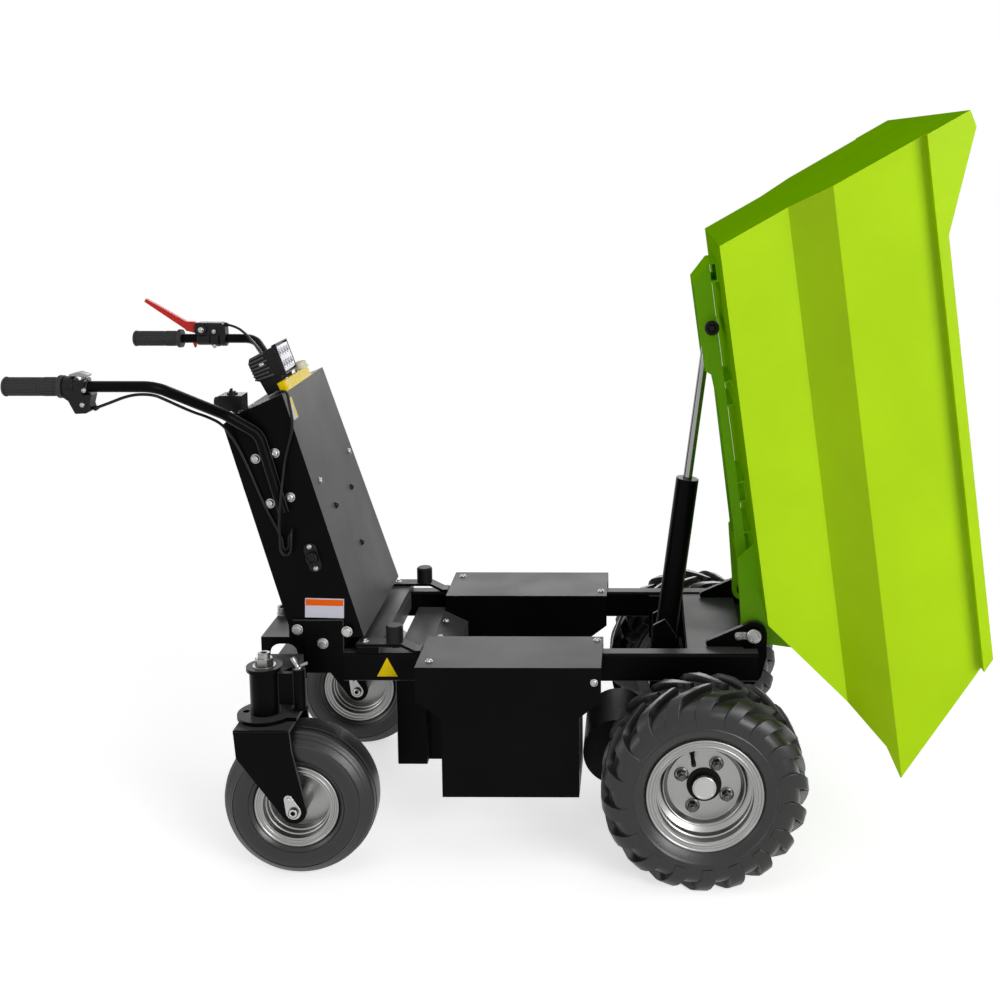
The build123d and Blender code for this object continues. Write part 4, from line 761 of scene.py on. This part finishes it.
def addGrips():
    form = bmesh.new()
    radius, depth, bulge, (wide, narrow) = (
        grip[size] for size in ("radius", "ribDepth", "bandRadius", "bandHalf"))
    for sign in (-1, 1):
        place = spot(grip["end"], sign * grip["y"], grip["z"], aheadAxis)
        for k in range(grip["ribs"]):
            out = Matrix.Rotation(2 * math.pi * k / grip["ribs"], 4, "Z")
            for start, end, half, aside in grip["ribRuns"]:
                base = place @ out @ shift(radius - grip["ribSink"], aside, start)
                outline = ((0, -half), (depth, -half * 0.5), (depth, half * 0.5), (0, half))
                slab(form, outline, end - start, base)
        for mid in grip["bandsAt"]:
            lathe(form, ((radius, mid - wide), (bulge, mid - narrow),
                         (bulge, mid + narrow), (radius, mid + wide)), place, 40)
        lathe(form, grip["cap"], place, 40)
        lathe(form, grip["flange"], place, 40)
    addPiece("gripRibs", form, "gripRubber", 0.25, 50)


throttle = dict(
    shell=[(((-1236, 1004), (-1222, 1013), (-1207, 1018), (-1194, 1022), (-1191, 1016), (-1196, 1004),
        (-1199, 992), (-1181, 991), (-1186, 972), (-1183, 961), (-1193, 955), (-1214, 954),
        (-1220, 966), (-1226, 979), (-1236, 986)), -351, 34)],
    clamps=(
        (((0, -1), (19.5, -1), (20.5, 2), (20.5, 18), (18.5, 21), (11.5, 21)),
            (-1236, -334, 1005), aheadAxis, 36),
        (((11.4, 0), (14.5, 0.5), (14.5, 9), (11.4, 9.5)), (-1199, -334, 1005), aheadAxis, 30),
        (((0, 0), (5.2, 0), (5.2, 5), (3.8, 8), (3.2, 12), (0, 12)),
            (-1184, -334, 961.5), (1, 0, 0.33), 16)),
    lever=[(((-1225, 1030), (-1207, 1034.5), (-1188, 1029), (-1191, 1024), (-1208, 1026),
        (-1224, 1026.5)), -344, 22)],
    post=[(((4.5, 0), (4.5, 16), (0, 16)), (-1200, -334, 1014), upAxis, 14)],
    screws=(((-1196, -348, 1000), nearAxis, (4, 2.4, 0.6)),
        ((-1199, -351, 972), nearAxis, (3.6, 2, 0.5))),
)


def addThrottle():
    shell = build(throttle["shell"], throttle["clamps"])
    piece = addPiece("throttleShell", shell, "plasticBlack", 2.2, 35, 3)
    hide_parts("throttle")
    lever = build(throttle["lever"], throttle["post"])
    addPiece("throttleLever", lever, "lampSilver", 1.2, 35, 3)
    addPiece("throttleScrews", build(bolts=throttle["screws"]), "brightZinc", 0.15)


brakePerch = dict(
    body=[(((-1205, 1020), (-1204, 1041), (-1198, 1044.5), (-1140, 1044.5), (-1130, 1036),
        (-1129.5, 1016), (-1140, 1014), (-1196, 1014)), 320, 28)],
    clamps=(
        (((11.3, 0), (18.6, 0.6), (19.4, 3), (19.4, 18), (18.6, 20.4), (11.3, 21)),
            (-1166, 334, 1005), aheadAxis, 36),
        (((11.3, 0), (17.8, 0.6), (18.4, 2.5), (18.4, 12), (17.6, 14.4), (11.3, 15)),
            (-1144, 334, 1005), aheadAxis, 36),
        (((11.3, 0), (15.5, 0.6), (16, 2.5), (16, 30), (15.5, 32), (11.3, 32.5)),
            (-1200, 334, 1005), aheadAxis, 36),
        (((0, -1), (13, -1), (13, 30), (12, 31.5), (0, 31.5)), (-1187, 316.5, 1028), (0, 1, 0), 30),
        (((0, 0), (5.4, 0), (5.4, 4), (4.2, 8), (3.2, 10), (0, 10)),
            (-1134, 334, 1039.4), (1, -0.35, -0.1), 16)),
    screws=(((-1156, 316, 1024), nearAxis, (4, 3, 0.6)), ((-1156, 317, 988), nearAxis, (4, 3, 0.6)),
        ((-1187, 315.4, 1028), nearAxis, (5.5, 3, 0.6))),
    latchAndRoot=(
        (((-1213, 996), (-1202, 996), (-1206, 983), (-1209, 983)), 330, 8),
        (((-1226, 1024), (-1204, 1019), (-1200, 1040), (-1206, 1046.5), (-1228, 1047.5), (-1240, 1047),
            (-1236, 1036)), 327, 14)),
)


def addBrake():
    perch = build(brakePerch["body"], brakePerch["clamps"])
    piece = addPiece("brakePerch", perch, "plasticBlack", 1, 35)
    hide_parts("brake_perch")
    addPiece("brakeScrews", build(bolts=brakePerch["screws"]), "brightZinc", 0.2)
    addPiece("brakeLeverRoot", build(brakePerch["latchAndRoot"]), "leverRed", 0.8)


addGrips()
addThrottle()
addBrake()
print("grips and controls made")

# swivel casters
caster = dict(swivelX=-884, x=-815, y=299, z=155)
kingpinNut = dict(
    z=430.2,
    steps=(
        (((0, 0), (23, 0), (23, 0.9), (20, 1)), 32),
        (((18.8, 0.8), (18.8, 14.8), (17.2, 16.1), (12, 16.1)), 6),
        (((12.4, 15), (12.4, 24.5), (11.6, 26.2), (9, 26.8), (7, 26.8), (6.2, 25.8), (0, 25.8)), 24)),
)
axleKeeper = dict(
    out=74.5, thick=3, ends=(15, 8.5), run=(-10, 27),
    axle=((9.2, -0.3), (9.2, 4.2), (8.2, 5.4), (5, 5.8), (4.4, 4.6), (0, 4.6)),
    bolt=((4.4, -0.3), (4.4, 2.4), (3.2, 3.4), (0, 3.6)),
)
forkWeld = dict(run=(-926, -824), out=74.8, z=323.4, radius=2.6, lump=0.0075)
lockPin = dict(
    z=422.6, tilt=(-0.48, 0, 0.88),
    knob=((0, 0), (9.5, 0), (9.5, 3), (5.6, 4.5), (5.2, 12), (6.4, 15), (6.4, 24), (5.4, 26), (0, 26)),
    pull=((3.2, 0), (3.2, 15), (0, 15)), pullAt=Vector((0.004, 0, 0.006)), pullTilt=(0.9, 0.2, 0.35),
    collar=((14, -0.5), (17, 0.5), (17, 2.5), (13.2, 4)), collarZ=338.5,
)
armWeld = dict(x=-854, y=283, run=(351, 414), radius=2.2, lump=0.008)


def pearOutline(big, small, run):
    # round at both ends, the large end at the origin
    length = math.hypot(*run)
    lean = math.acos((big - small) / length)
    toward = math.atan2(run[1], run[0])
    points = []
    for centre, radius, start, end in (((0, 0), big, toward + lean, toward + 2 * math.pi - lean),
                                       (run, small, toward - lean, toward + lean)):
        for k in range(13):
            x, y = polar(radius, start + (end - start) * k / 12)
            points.append((centre[0] + x, centre[1] + y))
    return points


def addCasterParts():
    x, z, thick, (runX, runZ) = caster["x"], caster["z"], axleKeeper["thick"], axleKeeper["run"]
    keeper = [(x + u, z + v) for u, v in pearOutline(*axleKeeper["ends"], axleKeeper["run"])]
    for name, sign in sides:
        body, middle = "caster_" + name, sign * caster["y"]
        form = bmesh.new()
        latheSteps(form, kingpinNut["steps"], spot(caster["swivelX"], middle, kingpinNut["z"]))
        addPiece("kingpinNut_" + name, form, "zinc", 0.4, body=body)
        form = bmesh.new()
        for side in (-1, 1):
            y, out = middle + side * axleKeeper["out"], (0, side, 0)
            sideSlab(form, keeper, y, side * thick)
            lathe(form, axleKeeper["axle"], spot(x, y + side * thick, z, out), 24)
            lathe(form, axleKeeper["bolt"], spot(x + runX, y + side * thick, z + runZ, out), 6)
        addPiece("axleKeepers_" + name, form, "brightZinc", 0.4, body=body)
        form = bmesh.new()
        for side in (-1, 1):
            y = middle + side * forkWeld["out"]
            start, end = (at(end, y, forkWeld["z"]) for end in forkWeld["run"])
            bead(form, start, end, forkWeld["radius"], forkWeld["lump"])
        addPiece("forkWelds_" + name, form, "blackCoat", 0, 60, body=body)
    form = bmesh.new()
    for name, sign in sides:
        foot = at(x, sign * caster["y"], lockPin["z"])
        lathe(form, lockPin["knob"], standing(foot, lockPin["tilt"]), 20)
        lathe(form, lockPin["pull"], standing(foot + lockPin["pullAt"], lockPin["pullTilt"]), 12)
    addPiece("lockKnobs", form, "zinc", 0.4)
    form = bmesh.new()
    for name, sign in sides:
        lathe(form, lockPin["collar"], spot(x, sign * caster["y"], lockPin["collarZ"]), 24)
        start, end = (at(armWeld["x"], sign * armWeld["y"], level) for level in armWeld["run"])
        bead(form, start, end, armWeld["radius"], armWeld["lump"])
    addPiece("lockCollars", form, "blackCoat", 0.3)


tyre = dict(  # radius, then place across the tyre
    wall=((74.2, -38), (80, -44), (88, -52), (97, -58.5), (106, -60.5), (115, -60.2), (124, -58.6)),
    shoulder=((132, -54.5), (136.6, -50.6)), crown=((154.6, -12), (155, -5)), middle=(155, 0),
    grooves=((141.5, -46), (147.2, -38.5), (151.4, -30.5), (153.8, -20)),
    groove=((-1.2, -2), (-3.4, -1), (-3.4, 0.8), (0.4, 1.8)),
    ribs=((96, 58.2), (128, 57.2)), ribHalf=1.4,  # raised rings on the walls
)


def casterTyreRing():
    half = tyre["wall"] + tyre["shoulder"]
    for radius, across in tyre["grooves"]:
        half += tuple((radius + down, across + aside) for down, aside in tyre["groove"])
    half += tyre["crown"]
    other = tuple((radius, -across) for radius, across in reversed(half))
    return half + (tyre["middle"],) + other


def addCasterTyres():
    for name, sign in sides:
        form = bmesh.new()
        place = spot(caster["x"], sign * caster["y"], caster["z"], (0, 1, 0))
        lathe(form, casterTyreRing(), place, 120, closed=True)
        for radius, across in tyre["ribs"]:
            for side in (-1, 1):
                foot, top, half = side * (across - 1), side * (across + 1), tyre["ribHalf"]
                ridge = ((radius - half, foot), (radius, top), (radius + half, foot))
                lathe(form, ridge, place, 96)
        body = "caster_wheel_" + name
        piece = addPiece("casterTyre_" + name, form, "tyreRubber", 0, 50, body=body)
        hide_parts("caster_tyre_" + name)


addCasterParts()
addCasterTyres()
print("casters made")

# drive wheels
wheel = dict(y=335, z=205)
tread = dict(
    half=((101.6, 50), (108, 58), (117, 66), (126, 71.5), (133, 74.6), (137, 76.2), (138.6, 77.8),
        (141, 77.8), (142.6, 76.4), (152, 77.6), (164, 77.4), (174, 74), (182, 67), (187.5, 57),
        (190, 44), (191.5, 24), (192, 0)),
    lugs=18, lugFoot=2.2, lugEdge=(1.6, 1.2), turnRadius=170,
    lugLine=(  # sideways, top radius, forward, half width, height
        (3, 205, 44.5, 6, 15), (20, 205, 23, 9, 15), (40, 205, -1, 11.5, 15),
        (56, 204.5, -20, 13.5, 16), (64, 200.5, -27.5, 14.5, 17), (71, 193, -32.5, 15, 17),
        (76.5, 182.5, -36, 15, 15), (79.2, 171, -37.5, 14.5, 11), (79.6, 160, -37, 13.5, 8),
        (79.2, 150, -35.5, 12, 5)),
)


def addLug(form, axle, start, mirrored):
    line, foot, (edgeRun, edgeDrop) = tread["lugLine"], tread["lugFoot"], tread["lugEdge"]
    rows = []
    for index, (side, radius, forward, half, height) in enumerate(line):
        before, after = line[max(index - 1, 0)], line[min(index + 1, len(line) - 1)]
        # how the tread turns down to the wall
        slope = math.atan2(after[1] - before[1], after[0] - before[0])
        row = []
        for offset, drop in ((-half - foot, height), (-half, edgeDrop), (-half + edgeRun, 0),
                             (half - edgeRun, 0), (half, edgeDrop), (half + foot, height)):
            y = side + math.sin(slope) * drop
            y = -y if mirrored else y
            reach = radius - math.cos(slope) * drop
            z, x = polar(reach, start + (forward + offset) / max(radius, tread["turnRadius"]))
            row.append(form.verts.new(axle + Vector((x / 1000, y / 1000, z / 1000))))
        rows.append(row)
    for low, high in zip(rows, rows[1:]):
        for k in range(len(low) - 1):
            form.faces.new((low[k], low[k + 1], high[k + 1], high[k]))
    form.faces.new(rows[0])
    form.faces.new(rows[-1])


def addDriveTyres():
    half = tread["half"]
    ring = [(radius, -side) for radius, side in half] + list(reversed(half[:-1]))
    pitch = 2 * math.pi / tread["lugs"]
    for name, sign in sides:
        form = bmesh.new()
        axle = at(0, sign * wheel["y"], wheel["z"])
        lathe(form, ring, standing(axle, (0, 1, 0)), 144, closed=True)
        for k in range(tread["lugs"]):
            addLug(form, axle, k * pitch, False)
            addLug(form, axle, (k + 0.5) * pitch, True)
        body = "drive_wheel_" + name
        piece = addPiece("driveTyre_" + name, form, "tyreRubber", 0, 42, body=body)
        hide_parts("drive_tyre_" + name)


rimRolls = dict(  # the outer face's place, and rolls as radius and height over it
    drive=((0, 403, 205), (
        ((116.3, -4), (116.4, 0.5), (115.2, 2.4), (113, 2.8), (110.8, 1.4), (110, -0.3)),
        ((105, -0.3), (104, 1.5), (102, 2), (100, 1.2), (99, -0.3)),
        ((96.4, -24), (93.6, -22), (93.6, -19), (96.4, -17)),
        ((84, -42.5), (82, -39.6), (79.5, -40.4), (77, -46), (74.6, -50.2), (73, -51.3)))),
    caster=((-815, 351.5, 155), (
        ((85.3, -4), (85.4, 0.5), (84.2, 2.2), (82.2, 2.6), (80.2, 1.3), (79.4, -0.3)),
        ((76.5, -0.3), (75.6, 1.3), (74.2, 1.8), (72.8, 1.1), (72, -0.3)),
        ((66.4, -16), (63.4, -14), (63.4, -12), (67.2, -10)),
        ((63.8, -29), (60.6, -27), (60.6, -25), (64.4, -23)))),
)


def addRimRolls():
    for name, sign in sides:
        for kind, ((x, y, z), profiles) in rimRolls.items():
            faces = [(y, sign)] + ([(2 * caster["y"] - y, -sign)] if kind == "caster" else [])
            form = bmesh.new()
            for face, out in faces:
                for profile in profiles:
                    lathe(form, profile, spot(x, sign * face, z, (0, out, 0)), 96)
            body = kind + "_wheel_" + name
            addPiece(kind + "RimRolls_" + name, form, "zinc", 0, 50, body=body)


nuts = dict(
    circle=50, angles=(-25, 61, 155, 243), y=351.8,
    steps=(
        (((15, 0), (14.5, 1.2), (11.8, 2.4)), 24),
        (((10.5, 1.5), (10.5, 12), (9.4, 13.6), (6.5, 13.6)), 6),
        (((6.2, 13), (6.2, 17.5), (5.2, 18.6), (0, 18.6)), 16)),
)
hubCap = dict(
    place=(0, 360, 205),
    profile=((24.4, 0), (24.4, 8.6), (23.6, 10.4), (21.5, 11.2), (20.5, 10.2), (0, 10.2)),
)
valveStem = dict(
    place=(-25, 353, 276), tilt=(0.1, 0.75, -0.55),
    profile=((7.5, -3), (6.5, 3), (4.4, 7), (4.2, 22), (5, 23), (5, 32), (4, 34), (0, 34)),
)


def addWheelParts():
    for name, sign in sides:
        body = "drive_wheel_" + name
        form = bmesh.new()
        for angle in nuts["angles"]:
            x, z = polar(nuts["circle"], math.radians(angle))
            place = sideSpot(sign, (x, nuts["y"], wheel["z"] + z), turn=angle)
            latheSteps(form, nuts["steps"], place)
        addPiece("wheelNuts_" + name, form, "darkZinc", 0.3, body=body)
        form = bmesh.new()
        lathe(form, hubCap["profile"], sideSpot(sign, hubCap["place"]), 48)
        addPiece("hubCap_" + name, form, "brightZinc", 0.2, body=body)
        form = bmesh.new()
        lathe(form, valveStem["profile"], sideSpot(sign, valveStem["place"], valveStem["tilt"]), 18)
        addPiece("valveStem_" + name, form, "softRubber", 0.3, body=body)


addDriveTyres()
addRimRolls()
addWheelParts()
print("drive wheels made")

# fasteners and pins
deckBolts = dict(  # heads: radius, height, washer and a hexagon's stud
    covers=((-557, -272), (-219, -152), (-560, 275), (-220, 165)), coverZ=427.9, coverTurn=12,
    head=(6.2, 3.2, 1), side=(-220, 305.9, 397),
    rail=(-702, 195, 434.9), railTurn=10, railHead=(8, 6, 1.6, 4),
    box=((-570, -38, 391.9), (-570, 60, 391.9)), boxHead=(6, 3.2, 1),
)
hingePin = dict(
    place=(112, 169.8, 444),
    cap=((0, -1), (15.8, -1), (15.8, 2.2), (14.4, 3.4), (11, 3.4), (10.2, 2.2), (0, 2.2)),
    keeper=(48, 16, 7), keeperAt=(96, 443), keeperY=161.8, keeperThick=3,
    bolt=(80, 164.6, 441), boltHead=(6.6, 4.4, 1),
)
rearStud = dict(
    place=(-907, -60, 452), collar=((15.5, 0), (15.5, 2.2), (13.2, 3)),
    rings=7, firstRing=4, ringPitch=2, ring=((13.1, 0), (14, 0.6), (13.1, 1.2)),
    clip=((-897, 452), (-888, 452), (-888, 466), (-892, 470), (-897, 462)), clipY=(-66, 12),
)
rodPin = dict(
    place=(-652, 104.8, -2),
    cap=((0, -1), (14.6, -1), (15.4, 1), (15.4, 6.5), (13.8, 8.5), (9, 8.5), (8.2, 6.5), (0, 6.5)),
    head=((7.4, 6), (7.4, 10), (6.4, 11), (0, 11)),
)


def addChassisBolts():
    form = bmesh.new()
    for x, y in deckBolts["covers"]:
        place = spot(x, y, deckBolts["coverZ"], upAxis, deckBolts["coverTurn"])
        capBolt(form, place, *deckBolts["head"])
    for sign in (-1, 1):
        capBolt(form, sideSpot(sign, deckBolts["side"]), *deckBolts["head"])
        place = sideSpot(sign, deckBolts["rail"], upAxis, deckBolts["railTurn"])
        hexBolt(form, place, *deckBolts["railHead"])
    for x, y, z in deckBolts["box"]:
        capBolt(form, spot(x, y, z), *deckBolts["boxHead"])
    addPiece("coverBolts", form, "brightZinc", 0.25)
    form = bmesh.new()
    keeperX, keeperZ = hingePin["keeperAt"]
    keeper = [(x + keeperX, z + keeperZ) for x, z in roundRect(*hingePin["keeper"])]
    for sign in (-1, 1):
        lathe(form, hingePin["cap"], sideSpot(sign, hingePin["place"]), 36)
        sideSlab(form, keeper, sign * hingePin["keeperY"], sign * hingePin["keeperThick"])
        hexBolt(form, sideSpot(sign, hingePin["bolt"]), *hingePin["boltHead"])
    addPiece("hingePinKeepers", form, "brightZinc", 0.3)
    form = bmesh.new()
    stud = spot(*rearStud["place"])
    lathe(form, rearStud["collar"], stud, 28)
    for k in range(rearStud["rings"]):
        lift = rearStud["firstRing"] + k * rearStud["ringPitch"]
        lathe(form, [(radius, height + lift) for radius, height in rearStud["ring"]], stud, 24)
    sideSlab(form, rearStud["clip"], *rearStud["clipY"])
    addPiece("studClip", form, "brightZinc", 0.2)


def addRodPins():
    form = bmesh.new()
    u, y, w = rodPin["place"]
    for sign in (-1, 1):
        place = standing(trayAt(u, sign * y, w), (0, sign, 0))
        lathe(form, rodPin["cap"], place, 36)
        lathe(form, rodPin["head"], place, 6)
    addPiece("rodPinCaps", form, "plasticBlack", 0.4, body="bed")


addChassisBolts()
addRodPins()
print("fasteners made")

# floor and light
stage = dict(
    size=60, back=6, tone=grey(0.8), roughness=0.75, specular=0.1,
    glow=0.62, whiteFrom=1.0, whiteFull=1.9,  # metres from the object's middle
    worldLight=0.2,
    lamps=(  # name, place, aim, size, power
        ("keyLight", (3.4, -4.4, 2.3), (0.2, 0, 0.7), (2.6, 2.6), 190),
        ("topLight", (0.3, -0.8, 4.8), (0.1, 0, 0.4), (3.0, 3.0), 22),
        ("backLight", (0.1, 5.2, 2.1), (0.0, 0, 0.6), (5.2, 2.2), 95),
        ("rearLight", (-4.2, -3.0, 1.8), (-0.4, 0, 0.5), (2.0, 2.0), 30)),
)


def seenDirectly(tree):
    path = tree.nodes.new("ShaderNodeLightPath")
    camera, glossy, through = (
        path.outputs["Is %s Ray" % kind] for kind in ("Camera", "Glossy", "Transmission"))
    return maths(tree, "MAXIMUM", camera, maths(tree, "MAXIMUM", glossy, through))


def addFloor():
    bpy.ops.mesh.primitive_plane_add(size=stage["size"], location=(axleX, stage["back"], 0))
    floor = bpy.context.object
    floor.name = "floor"
    material = bpy.data.materials.new("paleFloor")
    material.use_nodes = True
    tree = material.node_tree
    shader = tree.nodes["Principled BSDF"]
    shader.inputs["Base Color"].default_value = (*stage["tone"], 1)
    shader.inputs["Roughness"].default_value = stage["roughness"]
    shader.inputs["Specular IOR Level"].default_value = stage["specular"]
    # seen directly, the floor glows near the object and is plain white further out
    seen = seenDirectly(tree)
    shader.inputs["Emission Color"].default_value = (1, 1, 1, 1)
    tree.links.new(maths(tree, "MULTIPLY", seen, stage["glow"]), shader.inputs["Emission Strength"])
    white = addNode(tree, "ShaderNodeEmission", Strength=1.0)
    distance = addNode(tree, "ShaderNodeVectorMath", operation="LENGTH")
    tree.links.new(tree.nodes.new("ShaderNodeNewGeometry").outputs["Position"], distance.inputs[0])
    away = mapTo(tree, distance.outputs["Value"], stage["whiteFrom"], stage["whiteFull"])
    blend = tree.nodes.new("ShaderNodeMixShader")
    tree.links.new(maths(tree, "MULTIPLY", seen, away), blend.inputs[0])
    tree.links.new(shader.outputs["BSDF"], blend.inputs[1])
    tree.links.new(white.outputs["Emission"], blend.inputs[2])
    tree.links.new(blend.outputs["Shader"], tree.nodes["Material Output"].inputs["Surface"])
    floor.data.materials.append(material)


def addLight():
    world = bpy.data.worlds.new("studio")
    bpy.context.scene.world = world
    world.use_nodes = True
    tree = world.node_tree
    background = tree.nodes["Background"]
    background.inputs["Color"].default_value = (1, 1, 1, 1)
    strength = mapTo(tree, seenDirectly(tree), 0.0, 1.0, stage["worldLight"], 1.0)
    tree.links.new(strength, background.inputs["Strength"])
    for name, place, aim, size, power in stage["lamps"]:
        light = bpy.data.lights.new(name, "AREA")
        light.shape = "RECTANGLE"
        light.size, light.size_y = size
        light.energy = power
        source = addObject(name, light)
        source.location = place
        source.rotation_euler = (Vector(aim) - Vector(place)).to_track_quat("-Z", "Y").to_euler()


addFloor()
addLight()
bpy.context.scene.view_settings.view_transform = "Standard"
print("stage ready")
